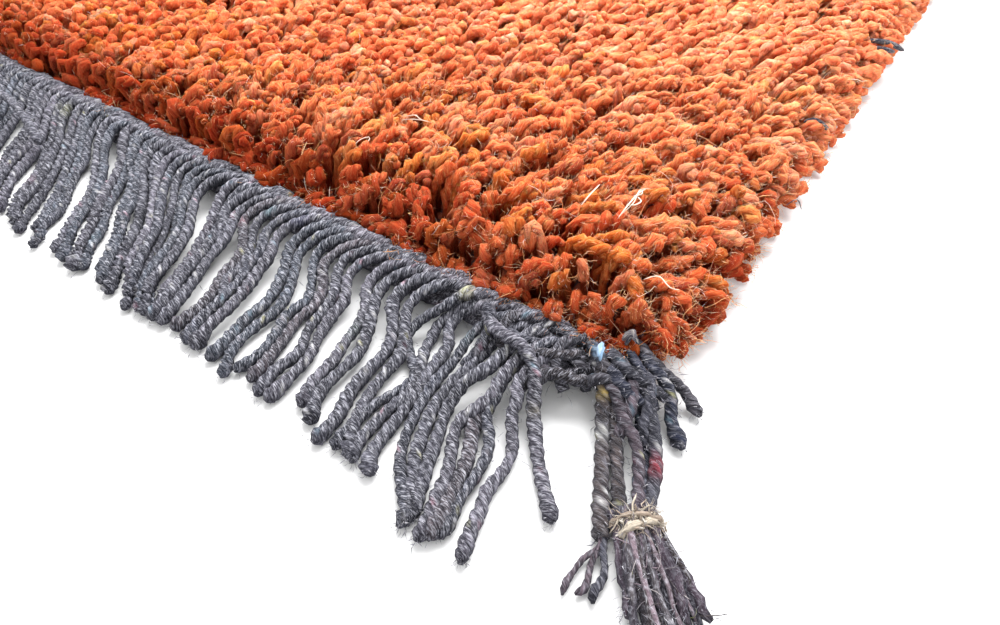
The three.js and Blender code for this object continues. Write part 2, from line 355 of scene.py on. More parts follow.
@dataclass
class StrandMesh:
    """Many closed strands, joined in one mesh.

    Every strand is a section carried along a path, closed at both ends. Its points carry the yarn's dye with
    its painted share of light, and its fibre place: where a point lies round and along the strand, in
    millimetres, so that a streak of fibres follows the strand and closes round it. Its bake map gives each
    strand a cell of its own.
    """

    name: str
    seed: int = 0
    cell_slimness: float = 4.0
    blocks: list[StrandBlock] = field(default_factory=list)

    def add(
        self,
        paths: Array,
        radii: Array,
        dyes: Array,
        section: Section = ROUND_PLY,
        turns: Array | None = None,
        fibre_slope: float = 0.0,
        pointed: bool = False,
        light: Array | None = None,
        underside: float = 1.0,
    ) -> None:
        """Add a block of strands that have equally many stations.

        The point of side s at a station stands off the path by radius times the section's share for s, at
        the angle 2 pi (s / sides + turns). The light at a point is the product of the station's, of the
        groove's, and of a share that falls from 1 on top of the strand to the underside's below it.

        Args:
            paths: Middle lines, shaped (strands, stations, 3).
            radii: Radius at each station, shaped (strands, stations).
            dyes: Linear colour at each station, shaped (strands, stations, 3), or at each side of each
                station, shaped (strands, stations, sides, 3).
            section: The outline across a strand.
            turns: Turns of the section at each station, shaped (strands, stations), or none.
            fibre_slope: How far the fibres wind round the strand, in radians a millimetre.
            pointed: Whether both ends run out to a point instead of a flat cap.
            light: Share of light at each station, shaped (strands, stations), or all of it.
            underside: Share of light on the strand's underside.
        """
        strands, stations = paths.shape[:2]
        side = np.arange(section.sides) / section.sides
        turned = np.zeros((strands, stations)) if turns is None else turns
        angle = 2 * np.pi * (side[None, None] + turned[..., None])
        across, lift = cross_frames(paths)
        reach = radii[..., None] * np.array(section.shares)
        rings = (
            paths[:, :, None]
            + (reach * np.cos(angle))[..., None] * across[:, :, None]
            + (reach * np.sin(angle))[..., None] * lift[:, :, None]
        )
        along = lengths_along(paths)
        rng = np.random.default_rng(self.seed + len(self.blocks))
        fresh = rng.uniform(0.0, 4000.0, (strands, 1))
        winding = 2 * np.pi * side[None, None] + fibre_slope * along[..., None]
        typical = float(np.median(radii))
        place = np.broadcast_to((along + fresh)[..., None], winding.shape)
        fibre = np.stack([typical * np.cos(winding), typical * np.sin(winding), place], axis=-1)
        colour = dyes if dyes.ndim == 4 else np.broadcast_to(dyes[:, :, None], rings.shape)
        facing_up = (rings[..., 2] - paths[:, :, None, 2]) / np.maximum(reach, 1e-6)
        share = (underside + (1.0 - underside) * eased(facing_up, -0.4, 0.9)) * section.light
        share = share if light is None else share * light[..., None]
        colour = np.concatenate([colour, share[..., None]], axis=-1)
        parts = [self._laid(part, pointed) for part in (rings, fibre, colour)]
        self.blocks.append(StrandBlock(*parts, stations, section.sides, pointed))

    @staticmethod
    def _laid(rings: Array, pointed: bool) -> Array:
        """Lay a block's rings out as rows of points; a pointed strand's end rings become their middles."""
        strands = len(rings)
        channels = rings.shape[-1]
        if not pointed:
            return rings.reshape(strands, -1, channels)
        inner = rings[:, 1:-1].reshape(strands, -1, channels)
        poles = rings[:, [0, -1]].mean(axis=2)
        return np.concatenate([poles[:, :1], inner, poles[:, 1:]], axis=1)

    def _cells(self, strands: int, used: int, total: int) -> tuple[Array, Array]:
        """Lower left corner and size of the bake map's cell for each strand of a block.

        Args:
            strands: Number of strands in the block.
            used: Cells taken by earlier blocks.
            total: Cells in all.
        Returns:
            The corners, shaped (strands, 2), and the size of a cell, shaped (2,).
        """
        columns = max(1, math.ceil(math.sqrt(total * self.cell_slimness)))
        rows = math.ceil(total / columns)
        index = used + np.arange(strands)
        size = np.array([1.0 / columns, 1.0 / rows])
        return np.stack([index % columns, index // columns], axis=1) * size, size

    def build(self, material: Material) -> Piece:
        """Join the blocks in one mesh object at the origin.

        Args:
            material: The finish of every strand.
        Returns:
            The new object, linked to the scene.
        """
        total = sum(len(block.points) for block in self.blocks)
        corners, starts, places, before, cells, used = [], [], [], 0, 0, 0
        for block in self.blocks:
            strands, points = block.points.shape[:2]
            corner, size = self._cells(strands, cells, total)
            first = before + (np.arange(strands) * points)[:, None, None]
            for faces, cell_map in zip(block.faces(), block.map_in_cell(), strict=True):
                flat = (first + faces[None]).reshape(-1)
                corners.append(flat)
                starts.append(used + np.arange(0, len(flat), faces.shape[1]))
                used += len(flat)
                places.append((corner[:, None, None] + cell_map[None] * size).reshape(-1, 2))
            before += strands * points
            cells += strands
        mesh = bpy.data.meshes.new(self.name)
        mesh.vertices.add(before)
        points = np.concatenate([block.points.reshape(-1, 3) for block in self.blocks]) * MM
        fill(mesh.vertices, "co", points)
        mesh.loops.add(used)
        fill(mesh.loops, "vertex_index", np.concatenate(corners), np.int32)
        mesh.polygons.add(sum(len(start) for start in starts))
        fill(mesh.polygons, "loop_start", np.concatenate(starts), np.int32)
        mesh.update(calc_edges=True)
        mesh.shade_smooth()
        fill(mesh.uv_layers.new(name=BAKE_MAP).uv, "vector", np.concatenate(places))
        laid = np.concatenate([block.fibre.reshape(-1, 3) for block in self.blocks])
        fill(mesh.attributes.new(FIBRE, "FLOAT_VECTOR", "POINT").data, "vector", laid)
        colour = np.concatenate([block.dye.reshape(-1, 4) for block in self.blocks])
        fill(mesh.attributes.new(DYE_AND_SHADE, "FLOAT_COLOR", "POINT").data, "color", np.clip(colour, 0.0, 1.0))
        mesh.materials.append(material)
        made = placed(self.name, mesh)
        log.info("%s: %d strands, %d triangles", self.name, total, used - 2 * len(mesh.polygons))
        return made


@dataclass(frozen=True)
class DyeLot:
    """A family of shades, as screen colours, that yarns are drawn from."""

    shades: tuple[Colour, ...]
    weights: tuple[float, ...]
    unevenness: float = 0.08

    def draw(self, rng: Draws, count: int) -> Array:
        """Draw a shade for each of a number of yarns.

        Args:
            rng: The source of random draws.
            count: Number of yarns.
        Returns:
            Linear colours, shaped (count, 3).
        """
        share = np.array(self.weights) / sum(self.weights)
        shades = np.array([linear(*shade) for shade in self.shades])
        picked = shades[rng.choice(len(shades), count, p=share)]
        return picked * about_one(rng, self.unevenness, (count, 1))

    def draw_along(self, rng: Draws, count: int, stations: int) -> Array:
        """Draw a shade for each of a number of yarns, shaped (count, stations, 3), even along each."""
        return np.repeat(self.draw(rng, count)[:, None], stations, axis=1)


PILE_DYES = DyeLot(
    shades=((228, 112, 64), (232, 124, 78), (216, 92, 54), (232, 146, 108), (174, 86, 64)),
    weights=(0.33, 0.3, 0.17, 0.14, 0.06),
    unevenness=0.1,
)
GOLDEN_DYES = DyeLot(
    shades=((218, 124, 54), (204, 110, 46), (226, 140, 76)),
    weights=(0.5, 0.3, 0.2),
    unevenness=0.1,
)
CORD_DYES = DyeLot(
    shades=((96, 95, 105), (76, 78, 89), (116, 112, 123), (86, 93, 104), (100, 91, 96)),
    weights=(0.36, 0.28, 0.14, 0.14, 0.08),
    unevenness=0.14,
)
PLAIT_DYES = DyeLot(
    shades=((108, 104, 114), (94, 92, 102), (120, 114, 124), (104, 94, 104)),
    weights=(0.4, 0.25, 0.2, 0.15),
    unevenness=0.1,
)
TASSEL_DYES = DyeLot(
    shades=((78, 78, 88), (96, 92, 98), (88, 78, 76), (58, 62, 80), (106, 92, 100)),
    weights=(0.3, 0.25, 0.2, 0.12, 0.13),
    unevenness=0.12,
)
FRAY_DYES = DyeLot(
    shades=((70, 62, 62), (98, 92, 96), (128, 112, 120), (58, 58, 66), (168, 160, 160), (122, 124, 84)),
    weights=(0.3, 0.26, 0.14, 0.17, 0.1, 0.03),
    unevenness=0.14,
)
BUNDLE_DYES = DyeLot(
    shades=((74, 66, 68), (92, 84, 92), (62, 58, 66), (112, 96, 108)),
    weights=(0.35, 0.25, 0.25, 0.15),
    unevenness=0.12,
)
TIE_DYES = DyeLot(
    shades=((196, 184, 166), (170, 152, 136), (210, 204, 196)),
    weights=(0.5, 0.3, 0.2),
)


@dataclass(frozen=True)
class SpunFinish:
    """How a spun yarn looks: its fibres' streaks, heathering and sheen.

    Streaks are noise stretched along the strand: fine across it, long along it. Heathering is a second,
    coarser noise that pulls patches of fibre towards a pale and a dark tone. Where little light reaches, the
    colour is multiplied by the deep tone. A strand modelled as one plied yarn has its two plies drawn on it.
    """

    name: str
    streak_width: float
    streak_length: float
    streak_depth: float
    contrast: float
    pale: Colour
    dark: Colour
    deep: Colour
    heather: float
    heather_size: float
    relief: float
    roughness: float
    sheen: float
    sheen_tint: Colour
    ply_pitch: float = 9.0
    # How deep the drawn plies' grooves are, both in the bump and in painted shade
    ply_depth: float = 0.0
    softness: float = 0.0


PILE_FINISH = SpunFinish(
    name="pile wool",
    streak_width=0.46,
    streak_length=3.2,
    streak_depth=0.8,
    contrast=4.5,
    pale=linear(255, 186, 120),
    dark=linear(170, 46, 12),
    deep=(0.34, 0.1, 0.05),
    heather=0.25,
    heather_size=1.5,
    relief=1.3,
    roughness=0.95,
    sheen=0.2,
    sheen_tint=linear(255, 150, 90),
    softness=0.6,
)
PLIED_FINISH = replace(
    PILE_FINISH,
    name="plied pile wool",
    streak_width=0.62,
    streak_depth=0.5,
    heather=0.1,
    ply_depth=0.45,
    relief=1.2,
)
CORD_FINISH = SpunFinish(
    name="grey recycled yarn",
    streak_width=0.45,
    streak_length=1.3,
    streak_depth=0.65,
    contrast=6.0,
    pale=linear(226, 226, 236),
    dark=linear(28, 29, 38),
    deep=(0.13, 0.13, 0.16),
    heather=0.8,
    heather_size=0.85,
    relief=0.8,
    roughness=0.95,
    sheen=0.15,
    sheen_tint=linear(220, 220, 236),
)
TASSEL_FINISH = replace(
    CORD_FINISH,
    name="soft grey yarn",
    streak_length=2.4,
    contrast=4.2,
    heather=0.42,
    heather_size=1.3,
)
STRAY_FINISH = SpunFinish(
    name="stray fibre",
    streak_width=0.3,
    streak_length=2.4,
    streak_depth=0.6,
    contrast=4.5,
    pale=linear(255, 246, 232),
    dark=linear(60, 50, 54),
    deep=(0.2, 0.17, 0.17),
    heather=0.1,
    heather_size=1.4,
    relief=0.3,
    roughness=0.85,
    sheen=0.2,
    sheen_tint=linear(255, 244, 232),
)
# What all wool finishes share: dull, downy, and letting a little light through, red the furthest
WOOL_SPECULAR = 0.1
WOOL_SHEEN_ROUGHNESS = 0.45
WOOL_SCATTER = (1.0, 0.4, 0.2)
WOOL_SCATTER_SCALE = 2.6


def blank_material(name: str) -> tuple[Material, bpy.types.Node]:
    """Make a node material, and return it with its Principled BSDF."""
    material = bpy.data.materials.new(name)
    material.use_nodes = True
    return material, material.node_tree.nodes["Principled BSDF"]


def set_inputs(node: bpy.types.Node, **values: object) -> None:
    """Set a node's inputs: streak_width is the input Streak width, and a bare colour gets full alpha.

    Args:
        node: The node.
        **values: The values, under the inputs' names in small letters with underscores.
    """
    by_name = {socket.name.lower().replace(" ", "_"): socket for socket in node.inputs if socket.enabled}
    for name, value in values.items():
        socket = by_name[name]
        socket.default_value = (*value, 1.0) if socket.type == "RGBA" else value


class NodeSketch:
    """Shorthand for laying nodes and links in one node tree."""

    def __init__(self, tree: bpy.types.NodeTree) -> None:
        """Keep the tree that is drawn in."""
        self.tree = tree

    def node(self, kind: str, **settings: object) -> bpy.types.Node:
        """Add a node.

        Args:
            kind: The node's type name.
            **settings: Its properties.
        Returns:
            The node.
        """
        made = self.tree.nodes.new(kind)
        for key, value in settings.items():
            setattr(made, key, value)
        return made

    def feed(self, socket: Socket, source: object) -> None:
        """Link a socket to an output, or set its value."""
        if isinstance(source, Socket):
            self.tree.links.new(source, socket)
        else:
            socket.default_value = source

    def maths(self, kind: str, first: object, second: object = 0.0, clamped: bool = False) -> Socket:
        """Add a Math node and return its output."""
        made = self.node("ShaderNodeMath", operation=kind, use_clamp=clamped)
        self.feed(made.inputs[0], first)
        self.feed(made.inputs[1], second)
        return made.outputs[0]

    def mix(self, share: object, first: object, second: object, blend: str = "MIX") -> Socket:
        """Add a colour Mix node and return its output."""
        made = self.node("ShaderNodeMix", data_type="RGBA", blend_type=blend)
        self.feed(made.inputs["Factor"], share)
        self.feed(made.inputs[6], first)
        self.feed(made.inputs[7], second)
        return made.outputs[2]

    def dress(self, shader: bpy.types.Node, colour: Socket, height: Socket, relief: float) -> None:
        """Feed a shader's colour, and bend its normal by a height of so many millimetres."""
        bump = self.node("ShaderNodeBump")
        set_inputs(bump, distance=relief * MM)
        self.feed(bump.inputs["Height"], height)
        self.feed(shader.inputs["Base Color"], colour)
        self.feed(shader.inputs["Normal"], bump.outputs["Normal"])

    def noise(self, place: object, scale: object, detail: float = 2.0, rough: float = 0.5) -> Socket:
        """Add a Noise Texture and return its value output."""
        made = self.node("ShaderNodeTexNoise", noise_dimensions="3D")
        self.feed(made.inputs["Vector"], place)
        self.feed(made.inputs["Scale"], scale)
        set_inputs(made, detail=detail, roughness=rough)
        return made.outputs["Fac"]

    def spread(
        self, value: object, low: float, high: float, to_low: float = 0.0, to_high: float = 1.0
    ) -> Socket:
        """Add a clamped Map Range node and return its output."""
        made = self.node("ShaderNodeMapRange", clamp=True)
        self.feed(made.inputs["Value"], value)
        set_inputs(made, from_min=low, from_max=high, to_min=to_low, to_max=to_high)
        return made.outputs["Result"]


class SpunFibre:
    """The node group that turns a strand's dye and fibre place into spun wool."""

    NAME = "Spun fibre"
    # The first of each is read off the strand, and the finish's field of the same name gives the others
    COLOURS = ("Dye", "Pale", "Dark", "Deep")
    NUMBERS = (
        "Light",
        "Streak width",
        "Streak length",
        "Streak depth",
        "Contrast",
        "Heather",
        "Heather size",
        "Ply pitch",
        "Ply depth",
    )

    @classmethod
    def group(cls) -> bpy.types.NodeTree:
        """Build the group once, and return it."""
        known = bpy.data.node_groups.get(cls.NAME)
        if known:
            return known
        tree = bpy.data.node_groups.new(cls.NAME, "ShaderNodeTree")
        face = tree.interface
        face.new_socket("Fibre place", in_out="INPUT", socket_type="NodeSocketVector")
        for name in cls.COLOURS:
            face.new_socket(name, in_out="INPUT", socket_type="NodeSocketColor")
        for name in cls.NUMBERS:
            face.new_socket(name, in_out="INPUT", socket_type="NodeSocketFloat")
        face.new_socket("Colour", in_out="OUTPUT", socket_type="NodeSocketColor")
        face.new_socket("Height", in_out="OUTPUT", socket_type="NodeSocketFloat")
        cls._lay(NodeSketch(tree))
        return tree

    @staticmethod
    def _lay(draw: NodeSketch) -> None:
        """Lay the group's nodes: stretched noise for the streaks, coarser noise for the heathering.

        Each noise, less a half and times the contrast, pulls towards the pale tone where it passes a tenth
        and towards the dark tone where it is negative. The plies are the ridges of a wave that goes round
        the strand twice and shifts with the way along it; the grooves between them are deeper in the bump
        and darkened by painted shade. Where the strand's share of light, less the grooves', falls short of
        1, the colour is multiplied towards the deep tone: painted shade.
        """
        given = draw.node("NodeGroupInput").outputs
        put = draw.node("NodeGroupOutput").inputs
        apart = draw.node("ShaderNodeSeparateXYZ")
        draw.feed(apart.inputs[0], given["Fibre place"])
        place = draw.node("ShaderNodeCombineXYZ")
        draw.feed(place.inputs[0], draw.maths("DIVIDE", apart.outputs[0], given["Streak width"]))
        draw.feed(place.inputs[1], draw.maths("DIVIDE", apart.outputs[1], given["Streak width"]))
        draw.feed(place.inputs[2], draw.maths("DIVIDE", apart.outputs[2], given["Streak length"]))
        streak = draw.noise(place.outputs[0], 1.0, detail=3.0, rough=0.6)
        coarse = draw.noise(given["Fibre place"], draw.maths("DIVIDE", 1.0, given["Heather size"]))
        toned = given["Dye"]
        for value, depth in ((streak, given["Streak depth"]), (coarse, given["Heather"])):
            off = draw.maths("MULTIPLY", draw.maths("SUBTRACT", value, 0.5), given["Contrast"])
            above = draw.maths("MULTIPLY", draw.maths("SUBTRACT", off, 0.1, clamped=True), depth)
            below = draw.maths("MULTIPLY", draw.maths("MULTIPLY", off, -1.0, clamped=True), depth)
            toned = draw.mix(below, draw.mix(above, toned, given["Pale"]), given["Dark"])
        round_strand = draw.maths("ARCTAN2", apart.outputs[1], apart.outputs[0])
        turns = draw.maths("DIVIDE", apart.outputs[2], given["Ply pitch"])
        shift = draw.maths("MULTIPLY", turns, 2 * math.pi)
        wandering = draw.maths("MULTIPLY", coarse, 2.5)
        phase = draw.maths("ADD", draw.maths("SUBTRACT", round_strand, shift), wandering)
        ridge = draw.maths("COSINE", draw.maths("MULTIPLY", phase, 2.0))
        sunk = draw.maths("MULTIPLY", draw.spread(ridge, -0.95, 0.1, 1.0, 0.0), given["Ply depth"])
        light = draw.maths("MULTIPLY", given["Light"], draw.maths("SUBTRACT", 1.0, sunk))
        reached = draw.mix(light, given["Deep"], (1.0, 1.0, 1.0, 1.0))
        draw.feed(put["Colour"], draw.mix(1.0, toned, reached, "MULTIPLY"))
        height = draw.maths("MULTIPLY", draw.spread(streak, 0.3, 0.72), 0.5)
        draw.feed(put["Height"], draw.maths("SUBTRACT", height, draw.maths("MULTIPLY", sunk, 0.8)))


def spun_material(finish: SpunFinish) -> Material:
    """Make the material of a spun yarn.

    Args:
        finish: How the yarn looks.
    Returns:
        A material that reads the strand's dye and fibre place.
    """
    material, shader = blank_material(finish.name)
    draw = NodeSketch(material.node_tree)
    fibre = draw.node("ShaderNodeGroup", node_tree=SpunFibre.group())
    place = draw.node("ShaderNodeAttribute", attribute_name=FIBRE)
    draw.feed(fibre.inputs["Fibre place"], place.outputs["Vector"])
    # The dye attribute's alpha is the painted share of light, which darkens the colour as painted shade
    dye = draw.node("ShaderNodeAttribute", attribute_name=DYE_AND_SHADE)
    draw.feed(fibre.inputs["Dye"], dye.outputs["Color"])
    draw.feed(fibre.inputs["Light"], dye.outputs["Alpha"])
    fields = [name.lower().replace(" ", "_") for name in (*SpunFibre.COLOURS[1:], *SpunFibre.NUMBERS[1:])]
    set_inputs(fibre, **{name: getattr(finish, name) for name in fields})
    draw.dress(shader, fibre.outputs["Colour"], fibre.outputs["Height"], finish.relief)
    set_inputs(
        shader,
        roughness=finish.roughness,
        specular_ior_level=WOOL_SPECULAR,
        subsurface_weight=finish.softness,
        subsurface_radius=WOOL_SCATTER,
        subsurface_scale=WOOL_SCATTER_SCALE * MM,
        sheen_weight=finish.sheen,
        sheen_roughness=WOOL_SHEEN_ROUGHNESS,
        sheen_tint=finish.sheen_tint,
    )
    return material


PALE_FIBRES = DyeLot(
    shades=((240, 142, 98), (230, 114, 70), (246, 176, 136), (244, 212, 192)),
    weights=(0.38, 0.34, 0.21, 0.07),
    unevenness=0.14,
)
# Loose fibres stay between these heights over the floor
LOWEST = 0.4
LOFT = 36.0


@dataclass
class LooseFibres:
    """The make of a loose fibre: a fine spindle that wanders off its yarn and curls."""

    radius: float = 0.11
    curl: float = 0.55
    stations: int = 5

    def add_to(
        self, mesh: StrandMesh, starts: Array, pull: Array, lengths: Array, dyes: Array, rng: Draws
    ) -> None:
        """Add fibres to a mesh.

        Each step of a fibre goes the last step's way, bent by a steady curl and a small random one.

        Args:
            mesh: Where they go.
            starts: First points, shaped (fibres, 3).
            pull: First directions, shaped (fibres, 3).
            lengths: Lengths, shaped (fibres,).
            dyes: Linear colours, shaped (fibres, 3).
            rng: The source of random draws.
        """
        count = len(starts)
        steady = rng.normal(0.0, self.curl, (count, 3))
        way = unit(pull)
        paths = np.empty((count, self.stations, 3))
        paths[:, 0] = starts
        for station in range(1, self.stations):
            paths[:, station] = paths[:, station - 1] + way * lengths[:, None] / (self.stations - 1)
            way = unit(way + steady + rng.normal(0.0, 0.25, (count, 3)))
        paths[..., 2] = LOFT - np.abs(LOFT - np.maximum(paths[..., 2], LOWEST))
        swell = np.sin(np.pi * np.linspace(0.06, 0.94, self.stations)) ** 0.5
        radii = self.radius * about_one(rng, 0.25, (count, 1)) * swell
        mesh.add(paths, radii, np.repeat(dyes[:, None], self.stations, axis=1), HAIR, pointed=True)


SHORT_FIBRES = LooseFibres(radius=0.085, curl=0.8, stations=3)
LONG_FIBRES = LooseFibres(radius=0.1, curl=0.6, stations=7)
TIE_WISPS = LooseFibres(radius=0.2, curl=0.6, stations=6)


def rounded_corners(places: Array, radius: float) -> Array:
    """Draw the field's four corners in, so that its outline is rounded there.

    In the square of one radius at each corner, the shares u and v of the way out to the two edges become
    u sqrt(1 - v^2 / 2) and v sqrt(1 - u^2 / 2), which lays the square on a quarter disc.

    Args:
        places: Places on the field, the last axis (x, y).
        radius: Radius of the rounded corner.
    Returns:
        The moved places.
    """
    half = np.array([HALF_WIDTH, HALF_LENGTH])
    share = np.clip((np.abs(places) - half + radius) / radius, 0.0, 1.0)
    bent = share * np.sqrt(1.0 - 0.5 * share[..., ::-1] ** 2)
    return np.where(share > 0.0, np.sign(places) * (half - radius + radius * bent), places)


@dataclass
class WovenGround:
    """The woven ground that carries the knots: a thin closed sheet, cut to the field's size."""

    width: float = FIELD_WIDTH
    length: float = FIELD_LENGTH
    thickness: float = 4.0
    lift: float = 0.4
    cell: float = 20.0
    corner: float = 18.0

    def _lines(self, length: float) -> Array:
        """Grid lines across a length: even ones, and at each end one more, a thickness further out."""
        half = length / 2
        count = max(2, round(length / self.cell))
        inner = np.linspace(-half + self.thickness, half - self.thickness, count)
        return np.concatenate([[-half], inner, [half]])

    def build(self) -> Piece:
        """Build the sheet as two grids that share a rounded edge.

        The underside is at the lift, and the top is thickness higher inside the edge. Over the last
        thickness of its width each grid bends to the mid height, so that the edge is round.

        Returns:
            The sheet's object.
        """
        grid_y, grid_x = np.meshgrid(self._lines(self.length), self._lines(self.width), indexing="ij")
        inset = np.minimum(self.width / 2 - np.abs(grid_x), self.length / 2 - np.abs(grid_y))
        swell = self.thickness / 2 * quarter_arch(inset, self.thickness)
        middle = self.lift + self.thickness / 2
        plan = rounded_corners(np.stack([grid_x, grid_y], axis=-1), self.corner)
        heights = [(middle + side * swell)[..., None] for side in (1.0, -1.0)]
        sheets = [np.concatenate([plan, height], axis=-1) for height in heights]
        high, wide = grid_x.shape
        row, column = np.meshgrid(np.arange(high - 1), np.arange(wide - 1), indexing="ij")
        here = (row * wide + column).ravel()
        top = np.stack([here, here + 1, here + 1 + wide, here + wide], axis=1)
        rim = np.zeros((high, wide), bool)
        rim[[0, -1]] = True
        rim[:, [0, -1]] = True
        under_index = np.where(rim.ravel(), np.arange(high * wide), high * wide + np.arange(high * wide))
        faces = np.concatenate([top, under_index[top][:, ::-1]])
        points = np.concatenate([sheet.reshape(-1, 3) for sheet in sheets])
        used, renamed = np.unique(faces, return_inverse=True)
        mesh = bpy.data.meshes.new("woven_ground")
        mesh.from_pydata((points[used] * MM).tolist(), [], renamed.reshape(-1, 4).tolist())
        mesh.shade_smooth()
        mesh.materials.append(self.material())
        log.info("woven_ground: %d faces", len(faces))
        return placed("woven_ground", mesh)

    @staticmethod
    def material() -> Material:
        """Make the ground's weave: rows of knot backs, with darker warp between them."""
        material, shader = blank_material("woven ground")
        draw = NodeSketch(material.node_tree)
        place = draw.node("ShaderNodeTexCoord").outputs["Object"]
        knots = draw.node("ShaderNodeTexBrick")
        draw.feed(knots.inputs["Vector"], place)
        set_inputs(
            knots,
            color1=linear(136, 58, 34),
            color2=linear(158, 76, 44),
            mortar=linear(78, 44, 38),
            scale=1.0,
            brick_width=7.4 * MM,
            row_height=4.8 * MM,
            mortar_size=0.6 * MM,
            mortar_smooth=0.6,
        )
        fuzz = draw.noise(place, 900.0, detail=3.0)
        wear = draw.spread(fuzz, 0.3, 0.8, 0.0, 0.3)
        worn = draw.mix(wear, knots.outputs["Color"], (*linear(80, 32, 20), 1.0))
        height = draw.maths("SUBTRACT", draw.maths("MULTIPLY", fuzz, 0.4), knots.outputs["Fac"])
        draw.dress(shader, worn, height, relief=0.8)
        set_inputs(shader, roughness=0.92)
        return material


@dataclass(frozen=True)
class TuftMake:
    """How the tufts of one zone are made: how near they stand, their plies, and radius shares along them."""

    label: str
    row_pitch: float
    knot_pitch: float
    lean: float
    plies: int
    ply_radius: float
    ply_offset: float
    twist_pitch: float
    stations: tuple[float, ...]
    radii: tuple[float, ...]
    short_fibres: int
    long_fibres: int
    parts: int
    foot_light: float


CLOSE = TuftMake(
    label="corner",
    row_pitch=6.8,
    knot_pitch=5.25,
    lean=10.0,
    plies=2,
    ply_radius=1.45,
    ply_offset=1.1,
    twist_pitch=10.0,
    stations=(0.0, 0.34, 0.5, 0.62, 0.72, 0.81, 0.89, 0.95, 0.985, 1.0),
    radii=(0.8, 0.9, 0.98, 1.04, 1.1, 1.16, 1.16, 1.06, 0.82, 0.45),
    short_fibres=16500,
    long_fibres=700,
    parts=1,
    foot_light=0.1,
)
MIDWAY = TuftMake(
    label="middle",
    row_pitch=5.8,
    knot_pitch=4.7,
    lean=10.5,
    plies=1,
    ply_radius=1.25,
    ply_offset=0.85,
    twist_pitch=26.0,
    stations=(0.0, 0.54, 0.76, 0.93, 1.0),
    radii=(0.75, 1.0, 1.14, 1.04, 0.5),
    short_fibres=9000,
    long_fibres=480,
    parts=2,
    foot_light=0.45,
)
DISTANT = TuftMake(
    label="field",
    row_pitch=10.9,
    knot_pitch=8.9,
    lean=16.0,
    plies=1,
    ply_radius=2.7,
    ply_offset=1.4,
    twist_pitch=80.0,
    stations=(0.0, 0.48, 0.84, 1.0),
    radii=(0.85, 1.0, 1.02, 0.6),
    short_fibres=900,
    long_fibres=90,
    parts=2,
    foot_light=0.65,
)


# The second point of a tuft's middle line has come this share of the way to the tip, as seen from above
STEM_SHARE = 0.07


